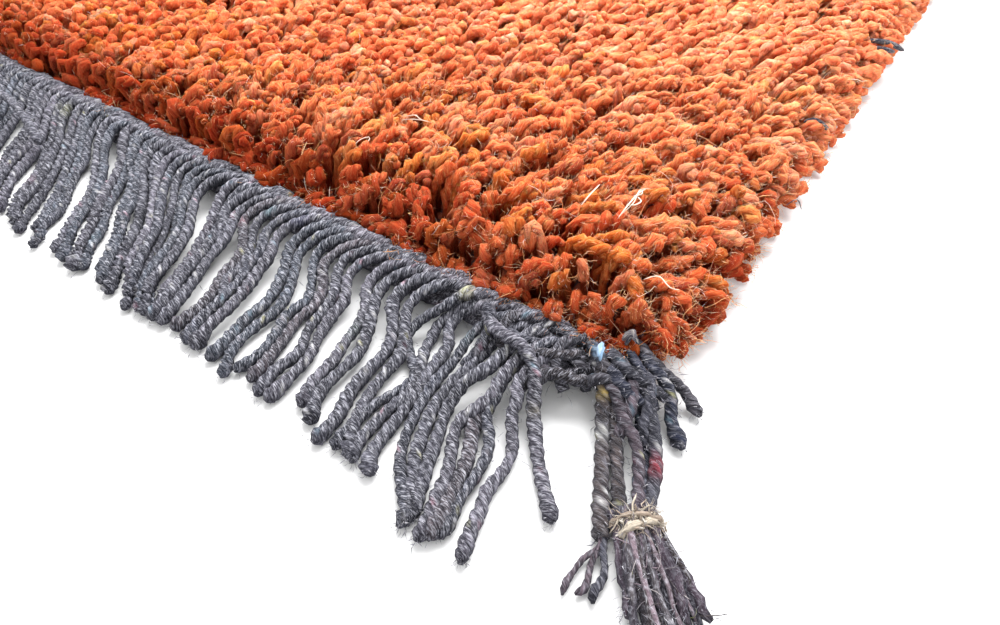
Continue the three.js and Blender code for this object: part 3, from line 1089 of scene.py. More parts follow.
@dataclass
class KnottedPile:
    """The shaggy pile: a plied wool tuft at every knot, leaning over the one in front of it."""

    edge_inset: float = 4.5
    corner: float = 20.0
    base_height: float = 3.0
    heading: float = 22.0
    unruly: float = 21.0
    clump_pitch: float = 19.0
    clump_pull: float = 0.3
    seed: int = 20
    fuzz_seed: int = 720
    wall_foot: float = 12.0
    wall_depth: float = 13.0
    brim_foot: float = 3.0
    brim_depth: float = 34.0
    fallen_lean: float = 7.5
    rim_out: float = 2.8
    rim_reach: float = 9.0
    toe_start: float = 200.0
    fallen_front: float = 22.0
    row_shift: float = 0.25
    jitter: float = 0.3
    least_tip: float = 4.5
    hairy_reach: float = 60.0

    # Where the finer makes end: lines y = 0.711 x + c, which are the photographed view's picture rows
    view_slope: float = 0.711
    close_line: float = -448.0
    midway_line: float = -222.0

    # Two large numbers, which mix a grid cell's two numbers into one
    HASH_X = 73856093
    HASH_Y = 19349663

    def __post_init__(self) -> None:
        """Lay out the zones: each make of tuft, with its tufts' middle lines."""
        ends = (-math.inf, self.close_line, self.midway_line, math.inf)
        makes = (CLOSE, MIDWAY, DISTANT)
        self.zones = [
            (make, self._middle_lines(make, low, high, np.random.default_rng(self.seed + number)))
            for number, (make, low, high) in enumerate(zip(makes, ends[:-1], ends[1:], strict=True))
        ]

    def _knots(self, make: TuftMake, rng: Draws) -> tuple[Array, NDArray[np.bool_]]:
        """Places of the knots: jittered rows, each second row shifted, and one more row round the rim.

        Args:
            make: The make of tuft, which gives the pitches.
            rng: The source of random draws.
        Returns:
            The places, shaped (knots, 2), and which of them are the rim's.
        """
        half = np.array([HALF_WIDTH, HALF_LENGTH]) - self.edge_inset
        rows = round(2 * half[1] / make.row_pitch)
        knots = round(2 * half[0] / make.knot_pitch)
        lines = [np.linspace(-half[1], half[1], rows), np.linspace(-half[0], half[0], knots)]
        y, x = np.meshgrid(*lines, indexing="ij")
        second = np.arange(rows)[:, None] % 2 == 1
        shift = np.where(second, -self.row_shift, self.row_shift) * make.knot_pitch
        x = x + shift * np.clip(8.0 - 8.0 * np.abs(x) / half[0], 0.0, 1.0)
        pitches = [make.knot_pitch, make.row_pitch]
        jitter = rng.uniform(-self.jitter, self.jitter, (rows, knots, 2)) * pitches
        inner = np.clip((np.stack([x, y], axis=-1) + jitter).reshape(-1, 2), -half - 1.0, half + 1.0)
        across = np.arange(-half[0], half[0], make.knot_pitch)
        along = np.arange(-half[1], half[1], make.knot_pitch)
        outer = half + self.rim_out
        sides = [np.stack([across, np.full_like(across, sign * outer[1])], axis=1) for sign in (-1.0, 1.0)]
        sides += [np.stack([np.full_like(along, sign * outer[0]), along], axis=1) for sign in (-1.0, 1.0)]
        rim = np.concatenate(sides)
        rim = rim + rng.uniform(-1.0, 1.0, rim.shape)
        places = rounded_corners(np.concatenate([inner, rim]), self.corner)
        return places, np.arange(len(places)) >= len(inner)

    def _clump_centres(self, places: Array) -> Array:
        """The nearest clump centre to each place, from a jittered square grid of centres."""
        cell = np.floor(places / self.clump_pitch).astype(int)
        best = np.full(len(places), np.inf)
        nearest = np.zeros_like(places)
        for step_x in (-1, 0, 1):
            for step_y in (-1, 0, 1):
                near = cell + [step_x, step_y]
                mixed = (near[:, 0] * self.HASH_X) ^ (near[:, 1] * self.HASH_Y)
                wobble = np.stack([np.sin(mixed * 0.731), np.cos(mixed * 0.417)], axis=1)
                centre = (near + 0.5 + 0.34 * wobble) * self.clump_pitch
                gap = np.sum((places - centre) ** 2, axis=1)
                closer = gap < best
                best = np.where(closer, gap, best)
                nearest = np.where(closer[:, None], centre, nearest)
        return nearest

    def _middle_lines(self, make: TuftMake, low: float, high: float, rng: Draws) -> Array:
        """Four points of the middle line of each tuft in one zone: knot, stem, shoulder and tip.

        A tuft rises steeply from its knot and then leans over, in a direction between +X and +Y, so that
        its tip lies on the shoulder of the next one. Along the two edges that the pile leans away from, the
        tufts stand up as a wall before they lean, and the rim's low tufts lie along the wall's foot. Towards
        the near corner at +X, more and more of the wall's tufts have fallen outwards and show their round
        ends, and those at its foot point out from it. Along the two edges that the pile leans to, the tips
        droop over the brim, and the rim's tufts lie outwards under them.

        Args:
            make: The make of tuft.
            low: Where the zone starts, as c of a line y = slope x + c.
            high: Where it ends.
            rng: The source of random draws.
        Returns:
            The points, shaped (tufts, 4, 3).
        """
        base, rim = self._knots(make, rng)
        level = base[:, 1] - self.view_slope * base[:, 0]
        inside = (level >= low) & (level < high)
        base, rim = base[inside], rim[inside]
        x, y = base.T
        front = y + HALF_LENGTH
        back = HALF_LENGTH - y
        left = HALF_WIDTH + x
        right = HALF_WIDTH - x
        draw = rng.normal(0.0, 1.0, (6, len(x)))
        chance = rng.random((2, len(x)))
        wave = np.sin(0.041 * x + 0.023 * y) + 0.7 * np.sin(0.017 * x - 0.052 * y + 1.3)
        swirl = np.sin(0.031 * y + 0.012 * x) + np.sin(0.083 * x - 0.037 * y)
        lee = np.minimum(front, left)
        brim = np.minimum(right, back)
        heading = self.heading + 16.0 * fading(front, 20.0, 80.0) * eased(right, 30.0, 160.0)
        heading = heading - 24.0 * fading(right, 6.0, 60.0)
        heading = np.radians(heading + 9.0 * swirl + self.unruly * draw[1])
        length = make.lean * (0.5 + 0.5 * eased(lee, 0.0, 26.0)) * (1.0 + 0.08 * wave + 0.22 * draw[0])
        lumps = 2.4 * np.sin(0.21 * y + 1.0) + 2.0 * np.sin(0.37 * y)
        lean_x = np.minimum(length * np.cos(heading), right + 7.0 + lumps)
        lean_y = np.minimum(length * np.sin(heading), back + 4.0)
        walled = self.wall_foot + (PILE_HEIGHT - self.wall_foot) * quarter_arch(lee + 1.0, self.wall_depth)
        drooped = self.brim_foot + (PILE_HEIGHT - self.brim_foot) * quarter_arch(brim, self.brim_depth)
        tip_z = np.minimum(walled, drooped) - 0.7 + 1.5 * draw[2]
        low_wall = rim & (lee < self.rim_reach)
        low_brim = rim & ~low_wall
        flung = np.where(draw[3] > 0, 1.0, -1.0) * (9.0 + 2.6 * np.abs(draw[4]))
        lengthwise = left < front
        lean_x = np.where(low_wall, np.where(lengthwise, -1.5, flung), lean_x)
        lean_y = np.where(low_wall, np.where(lengthwise, flung, -0.5), lean_y)
        toe = low_wall & ~lengthwise & (x > self.toe_start)
        lean_x = np.where(toe, 3.0 * draw[5], lean_x)
        lean_y = np.where(toe, -3.6 - np.abs(draw[4]), lean_y)
        lean_x = np.where(low_brim, np.where(right < back, 6.5 + 0.6 * lumps, 3.5 * draw[3]), lean_x)
        lean_y = np.where(low_brim, np.where(right < back, 3.5 * draw[5], 5.0), lean_y)
        tip_z = np.where(low_brim, 6.5 + 1.4 * draw[2], tip_z)
        tip_z = np.where(low_wall, self.wall_foot + 1.6 * draw[2], tip_z)
        may_fall = (front < self.fallen_front) & ~low_wall
        fallen = may_fall & (chance[0] < 0.12 + 0.68 * eased(x, 70.0, 210.0))
        outward = np.radians(-78.0 + 60.0 * fading(right, 0.0, 34.0) + 34.0 * draw[1])
        lean_x = np.where(fallen, self.fallen_lean * np.cos(outward), lean_x)
        lean_y = np.where(fallen, np.maximum(self.fallen_lean * np.sin(outward), -front - 4.0), lean_y)
        sunk = 10.0 + 14.0 * np.clip(front / 18.0, 0.0, 1.0) * (0.55 + 0.45 * chance[1]) + 1.5 * draw[2]
        tip_z = np.where(fallen, np.minimum(sunk, drooped + 1.0), tip_z)
        tip_z = np.maximum(tip_z, self.least_tip)
        tips = np.stack([x + lean_x, y + lean_y], axis=1)
        inner = np.where(rim | fallen, 0.0, eased(np.minimum(lee, brim), 2.0, 16.0))[:, None]
        tips = tips + self.clump_pull * inner * (self._clump_centres(tips) - tips)
        lean = tips - base
        rise = 0.85 + 0.07 * fading(lee, 0.0, 20.0) + 0.3 * fading(brim, 0.0, 22.0) + 0.06 * draw[4]
        rise = np.where(rim, 1.05, np.where(fallen, 1.12 + 0.12 * chance[1], rise))
        crest_z = np.minimum(rise * tip_z, PILE_HEIGHT + 1.0)
        crest_share = (0.36 - 0.14 * fading(lee, 0.0, 22.0))[:, None]
        knot = np.concatenate([base, np.full((len(x), 1), self.base_height)], axis=1)
        stem = np.concatenate([base + STEM_SHARE * lean, (0.58 * crest_z + 1.0)[:, None]], axis=1)
        crest = np.concatenate([base + crest_share * lean, crest_z[:, None]], axis=1)
        crest[:, :2] += rng.normal(0.0, 1.4, lean.shape)
        tip = np.concatenate([tips, tip_z[:, None]], axis=1)
        return np.stack([knot, stem, crest, tip], axis=1)

    def _dyed(self, paths: Array, rng: Draws, plies: int) -> Array:
        """Dye of each ply at each station.

        Shades run softly into each other over the field, by two slow waves; each tuft strays a little from
        them, and its plies a little more. Golden tufts are many near the plaited ends and few further in.
        Further from the ends, the shades are also evened out and made paler, most in blue: painted light,
        for the brighter light over the middle of the rug.

        Args:
            paths: The tufts' middle lines, shaped (tufts, stations, 3).
            rng: The source of random draws.
            plies: Plies in a tuft.
        Returns:
            Linear colours, shaped (tufts * plies, stations, 3).
        """
        x, y = paths[:, 0, 0], paths[:, 0, 1]
        inward = HALF_LENGTH - np.abs(y)
        slow = np.sin(0.055 * x + 0.02 * y + 0.6) * np.sin(0.047 * y - 0.024 * x)
        warm = np.exp(slow[:, None] * np.array([0.05, 0.12, 0.16]))
        tuft = PILE_DYES.draw(rng, len(paths))
        patchy = 0.5 + 0.5 * np.sin(0.11 * x + 0.05 * y) * np.sin(0.09 * y - 0.04 * x + 0.7)
        golden = rng.random(len(paths)) < (0.04 + 0.4 * patchy * fading(inward, 20.0, 120.0))
        tuft = np.where(golden[:, None], GOLDEN_DYES.draw(rng, len(paths)), tuft) * warm
        # Painted light: further from the ends the wool is drawn to the mean shade and paled, as if lit more
        # brightly
        painted_far_light = eased(inward, 15.0, 190.0)[:, None]
        tuft = tuft + 0.5 * painted_far_light * (tuft.mean(axis=0) - tuft)
        tuft = tuft * (1.0 + painted_far_light * np.array([0.14, 0.5, 0.9]))
        ply = np.repeat(tuft, plies, axis=0) * about_one(rng, 0.08, (len(paths) * plies, 1))
        return np.clip(np.repeat(ply[:, None], paths.shape[1], axis=1), 0.0, 0.95)

    def _tufts(self, name: str, points: Array, make: TuftMake, rng: Draws) -> StrandMesh:
        """Make tufts whose plies wind round each other and open a little towards the tip.

        Less light reaches a point the lower it lies in the pile, and at the steep fronts by the plaits,
        where it falls in at a slant. Further in, the gaps between the tufts are brighter.

        Args:
            name: The mesh's name.
            points: The tufts' points, shaped (tufts, 4, 3).
            make: How finely they are made.
            rng: The source of random draws.
        Returns:
            The tufts' mesh, not yet built.
        """
        count = len(points)
        stations = np.array(make.stations)
        paths = through_points(points, stations)
        along = lengths_along(paths)
        girth = about_one(rng, 0.14, (count, 1))
        slubs = about_one(rng, 0.09, paths.shape[:2])
        dyes = self._dyed(paths, rng, make.plies)
        light = make.foot_light + (1.0 - make.foot_light) * eased(paths[..., 2], 8.0, 25.0)
        inward = HALF_LENGTH - np.abs(paths[..., 1])
        light = light + 0.9 * (1.0 - light) * eased(inward, 40.0, 150.0)
        steep = (0.85 - 0.5 * eased(paths[..., 0], 180.0, 262.0)) * fading(inward, 8.0, 32.0)
        light = light * (1.0 - steep)
        light = np.repeat(light, make.plies, axis=0)
        mesh = StrandMesh(name, seed=self.seed)
        pitch = make.twist_pitch * rng.uniform(0.8, 1.3, (count, 1))
        if make.plies == 1:
            radii = girth * slubs * (make.ply_offset + make.ply_radius) * np.array(make.radii)
            keep_above(paths, radii + 0.2)
            turns = rng.random((count, 1)) - along / pitch
            mesh.add(paths, radii, dyes, turns=turns, light=light, underside=0.8)
            return mesh
        opened = rng.uniform(0.0, 1.0, (count, 1)) ** 2 * eased(stations, 0.55, 1.0)
        offsets = girth * (make.ply_offset + 0.7 * opened)
        start = rng.uniform(0.0, 2 * np.pi, count)
        plies = twisted_plies(paths, offsets, -along / pitch, start, make.plies)
        plies = plies + rng.normal(0.0, 0.15, plies.shape)
        stretch = rng.uniform(-1.3, 1.1, (len(plies), 1, 1)) * eased(stations, 0.6, 1.0)[:, None]
        plies = plies + stretch * unit(plies[:, -1:] - plies[:, -3:-2])
        radii = np.repeat(girth * slubs, make.plies, axis=0) * make.ply_radius * np.array(make.radii)
        radii = radii * about_one(rng, 0.07, radii.shape)
        mesh.add(plies, radii, dyes, fibre_slope=0.2, light=light, underside=0.6)
        return mesh

    def build(self, material: Material, plied: Material) -> list[Piece]:
        """Build the pile's tufts in a few pieces, each a band of rows.

        Args:
            material: The finish of tufts whose plies are modelled.
            plied: The finish of tufts whose plies are drawn on one strand.
        Returns:
            The pieces.
        """
        made = []
        for make, points in self.zones:
            points = points[np.argsort(points[:, 0, 1], kind="stable")]
            for part, band in enumerate(np.array_split(points, make.parts)):
                rng = np.random.default_rng(self.seed + 10 * part + len(made))
                name = f"pile_{make.label}_{part + 1}"
                finish = material if make.plies > 1 else plied
                made.append(self._tufts(name, band, make, rng).build(finish))
        return made

    def fuzz(self, material: Material) -> list[Piece]:
        """Build the loose fibres of the pile: most of them where the view is closest.

        Towards the corner the tufts are the hairiest: a tuft's chance of a fibre falls with its distance
        from the corner, to a fifth of the chance there.

        Args:
            material: The pile's finish.
        Returns:
            The pieces.
        """
        made = []
        corner = np.array([HALF_WIDTH, -HALF_LENGTH])
        for make, points in self.zones:
            rng = np.random.default_rng(self.fuzz_seed + len(made))
            mesh = StrandMesh(f"fuzz_{make.label}", seed=self.seed)
            near = np.exp(-np.linalg.norm(points[:, 3, :2] - corner, axis=1) / self.hairy_reach)
            chance = (0.25 + near) / np.sum(0.25 + near)
            kinds = ((make.short_fibres, SHORT_FIBRES, 0.66), (make.long_fibres, LONG_FIBRES, 1.7))
            for count, fibres, reach in kinds:
                chosen = points[rng.choice(len(points), count, p=chance)]
                ahead = chosen[:, 3] - chosen[:, 2]
                out = unit(rng.normal(0.0, 1.0, (count, 3)) + [0.2, -0.3, 0.8])
                starts = chosen[:, 2] + rng.uniform(-0.15, 1.1, (count, 1)) * ahead + 1.9 * out
                pull = 0.8 * unit(ahead) + out
                lengths = reach * rng.gamma(5.0, 1.0, count)
                fibres.add_to(mesh, starts, pull, lengths, PALE_FIBRES.draw(rng, count), rng)
            made.append(mesh.build(material))
        return made


Route = Sequence[tuple[float, float, float]]


# Stations on a given route before its points are spaced evenly, and on one whose length is measured
FINE_STATIONS = 200
ROUGH_STATIONS = 24
# A blunt end's last ring has this share of the radius
BLUNT_END = 0.4


def evenly(route: Route, count: int) -> Array:
    """Lay even points on the smooth curve through a given route.

    Args:
        route: The points that the curve goes through, in millimetres.
        count: Number of even points.
    Returns:
        The points, shaped (count, 3).
    """
    fine = through_points(np.array([route], dtype=float), np.linspace(0.0, 1.0, FINE_STATIONS))
    along = lengths_along(fine)[0]
    wanted = np.linspace(0.0, along[-1], count)
    return np.stack([np.interp(wanted, along, fine[0, :, axis]) for axis in range(3)], axis=1)


def half_turned(points: Array, end: End) -> Array:
    """Turn route points of the near end half round about Z if they are wanted at the far end."""
    return points * np.array([end.value, end.value, 1.0])


@dataclass(frozen=True)
class Fleck:
    """A place in the near end where stray fibre of a screen colour is spun into the yarn."""

    place: tuple[float, float, float]
    colour: Colour
    reach: float = 2.6


FLECKS = (
    Fleck((32.4, -502.2, 4), (232, 178, 196)),
    Fleck((128, -479.8, 9), (224, 150, 190)),
    Fleck((136.9, -471.8, 8), (150, 84, 92)),
    Fleck((96.5, -506.3, 3), (136, 176, 190)),
    Fleck((145.3, -461.4, 11), (178, 214, 222), 2),
    Fleck((-6.6, -465.2, 12), (176, 178, 150), 3.2),
    Fleck((3, -463.4, 11.5), (182, 184, 140), 3.2),
    Fleck((128, -452.5, 12), (214, 214, 180), 2.2),
    Fleck((162.5, -461.6, 10), (66, 72, 118), 3),
    Fleck((208.7, -487.2, 4), (88, 116, 92), 3.4),
    Fleck((236.5, -457.3, 12), (206, 200, 140), 2),
    Fleck((246.6, -469, 9), (70, 108, 112), 2.4),
    Fleck((192.6, -448.9, 13), (150, 118, 136), 5),
    Fleck((273.3, -476.1, 6), (222, 214, 184), 2),
    Fleck((277, -480, 4), (214, 204, 168), 2),
    Fleck((284.5, -457.5, 14), (160, 200, 236), 2.3),
    Fleck((292.4, -466, 9), (214, 184, 96), 1.4),
    Fleck((298.1, -475.6, 6), (240, 240, 236), 1.8),
    Fleck((314.7, -476.8, 5), (176, 52, 66), 2.8),
)
NEP_DYES = DyeLot(
    shades=(
        (244, 242, 240), (206, 200, 208), (222, 176, 192),
        (156, 188, 206), (206, 202, 150), (120, 70, 84),
    ),
    weights=(0.42, 0.3, 0.08, 0.07, 0.07, 0.06),
    unevenness=0.05,
)
GREY_FIBRES = DyeLot(
    shades=((150, 148, 158), (104, 102, 112), (206, 204, 210)),
    weights=(0.45, 0.35, 0.2),
)
CORD_FIBRES = LooseFibres(radius=0.085, curl=0.7, stations=3)


@dataclass
class Cords:
    """The make of a plied cord: three plies with a common skin, whose lobes wind along it."""

    thickness: float = CORD_THICKNESS
    lay: float = 11.0
    step: float = 1.7
    lot: DyeLot = CORD_DYES
    neps: float = 0.03
    blunt: bool = True
    light: float = 1.0

    def add_to(self, mesh: StrandMesh, points: Array, rng: Draws, girth: float = 1.0) -> Array:
        """Add cords of about one length to a mesh.

        A cord's radius swells and thins by three waves, and swells once more before its blunt tip, which
        closes as a quarter circle and is darkened by painted shade. Neps of other colours sit on single
        points of its skin, and each fleck dyes the cord that lies nearest to it, within its reach.

        Args:
            mesh: Where they go.
            points: Route points, shaped (cords, points, 3).
            rng: The source of random draws.
            girth: Thickness as a share of the make's.
        Returns:
            The cords' middle lines, shaped (cords, stations, 3).
        """
        rough = through_points(points, np.linspace(0.0, 1.0, ROUGH_STATIONS))
        length = float(np.median(lengths_along(rough)[:, -1]))
        stations = np.linspace(0.0, 1.0, max(6, round(length / self.step)))
        paths = through_points(points, stations)
        along = lengths_along(paths)
        start = rng.random((len(points), 1))
        uneven = (
            0.08 * np.sin(along / 6.1 + 20 * start)
            + 0.05 * np.sin(along / 2.3 + 50 * start)
            + 0.05 * np.sin(along / 1.2 + 90 * start)
        )
        radii = girth * self.thickness / 2 * about_one(rng, 0.08, start.shape) * (1.02 + uneven)
        light = np.full(along.shape, self.light)
        if self.blunt:
            from_tip = along[:, -1:] - along
            radii = radii * (1.0 + 0.24 * np.exp(-(((from_tip - 3.4) / 2.6) ** 2)))
            radii = radii * np.maximum(quarter_arch(from_tip + 0.15, 2.2), BLUNT_END)
            # Painted shade at the blunt tip
            light = light * (1.0 - 0.6 * np.exp(-((from_tip / 3.4) ** 2)))
        keep_above(paths, radii)
        mesh.add(
            paths,
            radii,
            self._dyed(paths, along, start, rng),
            THREE_LOBES,
            turns=start - along / self.lay,
            fibre_slope=0.3,
            light=light,
            underside=0.05,
        )
        return paths

    def _dyed(self, paths: Array, along: Array, start: Array, rng: Draws) -> Array:
        """Dye of every point of the cords' skin, shaped (cords, stations, sides, 3)."""
        tone = 1.0 + 0.2 * np.sin(along / 7.0 + 35 * start) + 0.14 * np.sin(along / 3.1 + 70 * start)
        dyes = self.lot.draw(rng, len(along))[:, None] * tone[..., None]
        for fleck in FLECKS:
            gap = np.linalg.norm(paths - np.array(fleck.place), axis=2)
            share = np.exp(-((gap / fleck.reach) ** 2))[..., None] * 0.92
            share = np.where(gap.min(axis=1)[:, None, None] == gap.min(), share, 0.0)
            dyes = dyes + share * (np.array(linear(*fleck.colour)) - dyes)
        skin = np.repeat(dyes[:, :, None], THREE_LOBES.sides, axis=2)
        skin = skin * about_one(rng, 0.34, (*skin.shape[:3], 1))
        where = rng.random(skin.shape[:3]) < self.neps
        skin[where] = NEP_DYES.draw(rng, int(where.sum()))
        return skin


def cord_fuzz(mesh: StrandMesh, paths: Array, count: int, rng: Draws, girth: float = 2.1) -> None:
    """Add loose fibres to cords: some anywhere along them, a third at their tips.

    Args:
        mesh: Where they go.
        paths: The cords' middle lines, shaped (cords, stations, 3).
        count: Number of fibres.
        rng: The source of random draws.
        girth: How far from the middle line they start.
    """
    cord = rng.integers(0, len(paths), count)
    station = rng.integers(1, paths.shape[1], count)
    tip = rng.random(count) < 0.34
    station = np.where(tip, paths.shape[1] - 1 - rng.integers(0, 2, count), station)
    place = paths[cord, station]
    ahead = unit(place - paths[cord, station - 1])
    out = rng.normal(0.0, 1.0, (count, 3)) + [0.0, 0.0, 0.6]
    out = unit(out - np.where(tip, 0.0, np.sum(out * ahead, axis=1))[:, None] * ahead)
    starts = place + girth * np.where(tip, 0.5, 1.0)[:, None] * out
    pull = out + np.where(tip, 0.9, 0.6)[:, None] * ahead
    lengths = rng.gamma(5.0, 0.5, count)
    CORD_FIBRES.add_to(mesh, starts, pull, lengths, GREY_FIBRES.draw(rng, count), rng)


@dataclass
class PlaitedEdge:
    """The plait that locks the last row: thick strands laid one over the next along the edge."""

    end: End
    pitch: float = 9.4
    fibres: int = 1400

    SEED = 300
    # One strand of the crest, from where it leaves the ground to where it dips under the next:
    # steps along the edge, distance out from the field's end, and height
    ROUTE = (
        (14, 0.4, 7), (9, 1.4, 10.6), (3.5, 3, 12.4), (-3, 4.9, 12.2), (-8, 7, 10.2), (-11.5, 8.8, 7),
    )
    # The ropes inside it: distance out and height
    CORES = ((2.6, 3.4), (5.4, 6.6), (8.6, 4.2))

    def build(self, material: Material) -> Piece:
        """Build the plait of one end.

        Args:
            material: The cord's finish.
        Returns:
            The plait's object.
        """
        rng = self.end.draws(self.SEED)
        middle = np.arange(-PLAIT_HALF_LENGTH + 12.0, PLAIT_HALF_LENGTH - 10.0, self.pitch)
        middle = middle + rng.normal(0.0, 0.9, len(middle))
        route = np.array(self.ROUTE)
        points = np.empty((len(middle), len(route), 3))
        points[..., 0] = middle[:, None] + route[:, 0] * rng.uniform(0.85, 1.15, (len(middle), 1))
        points[..., 1] = -HALF_LENGTH - route[:, 1]
        points[..., 2] = route[:, 2]
        points = points + rng.normal(0.0, 0.45, points.shape)
        mesh = StrandMesh(f"plait_{self.end.label}", seed=self.SEED)
        make = Cords(thickness=4.9, lay=13.0, step=self.end.step, lot=PLAIT_DYES, blunt=False)
        paths = make.add_to(mesh, half_turned(points, self.end), rng)
        core_x = np.linspace(-PLAIT_HALF_LENGTH, PLAIT_HALF_LENGTH, 40)
        core = np.empty((len(self.CORES), len(core_x), 3))
        core[..., 0] = core_x
        core[..., 1] = -HALF_LENGTH - np.array(self.CORES)[:, :1] + 0.5 * np.sin(core_x / 7.0)
        core[..., 2] = np.array(self.CORES)[:, 1:]
        rope = Cords(thickness=5.6, lay=26.0, step=6.0, lot=PLAIT_DYES, blunt=False)
        rope.add_to(mesh, half_turned(core, self.end), rng)
        cord_fuzz(mesh, paths, round(self.fibres * self.end.hairiness), rng)
        return mesh.build(material)


@dataclass
class Fringe:
    """The cord fringe of one end: plied cords that arch over the plait and lie on the floor in pairs."""

    end: End
    spacing: float = 12.6
    first: float = -281.0
    last: float = 230.0
    fibres: int = 3200

    SEED = 400
    # A cord's route: steps along the edge from where it bends over, distance out from the field's end,
    # and height
    ROUTE = (
        (12.5, 3, 8), (8, 4.4, 11.4), (3.8, 6.6, 12.5), (0.6, 10.2, 11.7), (-0.6, 15, 9.7),
        (-0.5, 21, 7.1), (0, 28, 4.7), (0, 35, 3.2), (0, 43, 2.6), (0, 52, 2.5), (0, 61.5, 2.5),
        (0, 70.5, 2.5),
    )
    # Cords towards the tasselled corner, one by one, as they lie there
    CORNER_ROUTES: tuple[Route, ...] = (
        ((247, -453.5, 9), (242.5, -455, 12), (236.6, -455.8, 12), (231.4, -465.4, 9), (227.4, -471.6, 6),
         (227.9, -477.9, 4.4), (232, -482, 2.5), (239.2, -487.7, 2.5), (239.9, -494.5, 2.5),
         (237.1, -502.6, 2.5), (236.9, -510.8, 2.5), (236.9, -516.8, 2.5), (238.5, -521.5, 2.5)),
        ((253, -453, 9), (248, -453.5, 12), (244, -455.3, 11.5), (237.9, -460, 7.5), (236.1, -466.5, 5),
         (240.1, -472.5, 3), (241.6, -481.5, 2.5), (242.2, -485.6, 2.5), (245, -497, 2.5),
         (246.5, -508, 2.5), (248.5, -518, 2.5), (253, -521.5, 2.5)),
        ((262, -455.5, 9), (256, -456.5, 12.5), (251, -459.5, 11.5), (246.7, -463.4, 8.4),
         (246.1, -470.6, 6.9), (246.8, -476.2, 5.3), (246.5, -482.4, 3.8), (246.3, -488.5, 2.5),
         (247.8, -495, 2.5), (249.9, -501.5, 2.5), (252.4, -507.5, 2.5), (256.1, -513.7, 2.5),
         (263.4, -520.7, 2.5), (267.7, -524, 2.5), (268.8, -528.7, 2.5)),
        ((270, -456, 9), (265, -458, 12.5), (262, -465, 12.5), (260.1, -476.4, 10), (256.6, -482.7, 7.7),
         (255.7, -487.5, 5.3), (256, -493.3, 3), (258.8, -500, 2.5), (262.1, -508, 2.5), (265, -514.4, 2.5),
         (267, -519.2, 2.5), (270, -525.5, 2.5)),
        ((274, -458, 8), (270, -460, 12), (266.5, -468, 12), (265.5, -478.8, 10), (265.9, -482.9, 7.9),
         (264.6, -488.1, 5.8), (261.9, -494.2, 3.8), (263.5, -499.6, 2.5), (267.4, -505.8, 2.5),
         (270.2, -511.8, 2.5), (272, -517.8, 2.5), (274.2, -524.2, 2.5), (275, -528.9, 2.5)),
        ((277, -456, 8), (273, -457.5, 12), (268, -465, 12.5), (264.6, -475.6, 10), (266.7, -482, 7.7),
         (267.5, -488.6, 5.3), (271.4, -493.1, 3), (274.3, -498, 2.5), (275.9, -505.1, 2.5),
         (276.9, -513.6, 2.5), (278.7, -519.6, 2.5), (278, -525.5, 2.5)),
        ((281, -457.5, 8), (277, -459, 12), (272.5, -466, 12), (270, -476.1, 10), (272.9, -481.3, 8),
         (273.7, -485, 6), (276.5, -489, 4.4), (279.6, -493.5, 2.5), (281.1, -499.9, 2.5),
         (281.1, -507.3, 2.5), (283.1, -513.1, 2.5), (284.4, -518.6, 2.5), (286.2, -523.8, 2.5),
         (287.6, -527.2, 2.5)),
        ((246, -459, 11), (252.5, -465.4, 13.5), (260.8, -468.1, 15.5), (266.4, -469, 16),
         (271.8, -471.7, 14), (275, -475.3, 10.5), (277.6, -479.9, 6.4), (281.6, -484.9, 3.8),
         (286.9, -491.5, 2.5), (292.7, -497.7, 2.5), (297, -502, 2.5), (300.1, -505.1, 2.5)),
        ((-46, -474, 12), (-41.2, -475.4, 14), (-22.5, -476.4, 15), (-1.9, -480.2, 14.5),
         (13.6, -484, 12.5), (21, -486.5, 10)),
    )

    # Pairs of those cords that have one more lying between them
    BETWEEN = ((0, 1), (2, 3), (4, 5))
    # Short cords matted together over the roots of those, of a darker dye and darkened further by painted
    # shade
    MATTED: tuple[Route, ...] = (
        ((252, -460, 9), (258, -463.5, 12.5), (264, -464.5, 13.5), (269, -461.5, 12), (273, -457.5, 9)),
        ((262, -472, 7), (266, -468.5, 10.5), (271, -466, 13), (276, -463.5, 13.5), (280, -459.5, 12)),
        ((270, -474.5, 6), (274, -471.5, 9.5), (278, -469, 11.5), (283, -467.5, 11), (287, -464, 9)),
        ((244, -457, 11), (249, -461.5, 14), (252, -466.5, 12), (252.5, -472.5, 8.5), (250.5, -478, 5)),
        ((281, -452, 13), (276.5, -456.5, 14.5), (274.5, -461.5, 14), (276.5, -466.5, 11.5),
         (282, -470.5, 8)),
        ((258, -454, 12), (255, -459, 13.5), (256, -465, 11), (261, -469.5, 8), (267, -472, 6)),
        ((266, -469.5, 8), (271, -469, 9.5), (276, -468.5, 10), (280, -466, 9), (281, -462.5, 9)),
    )

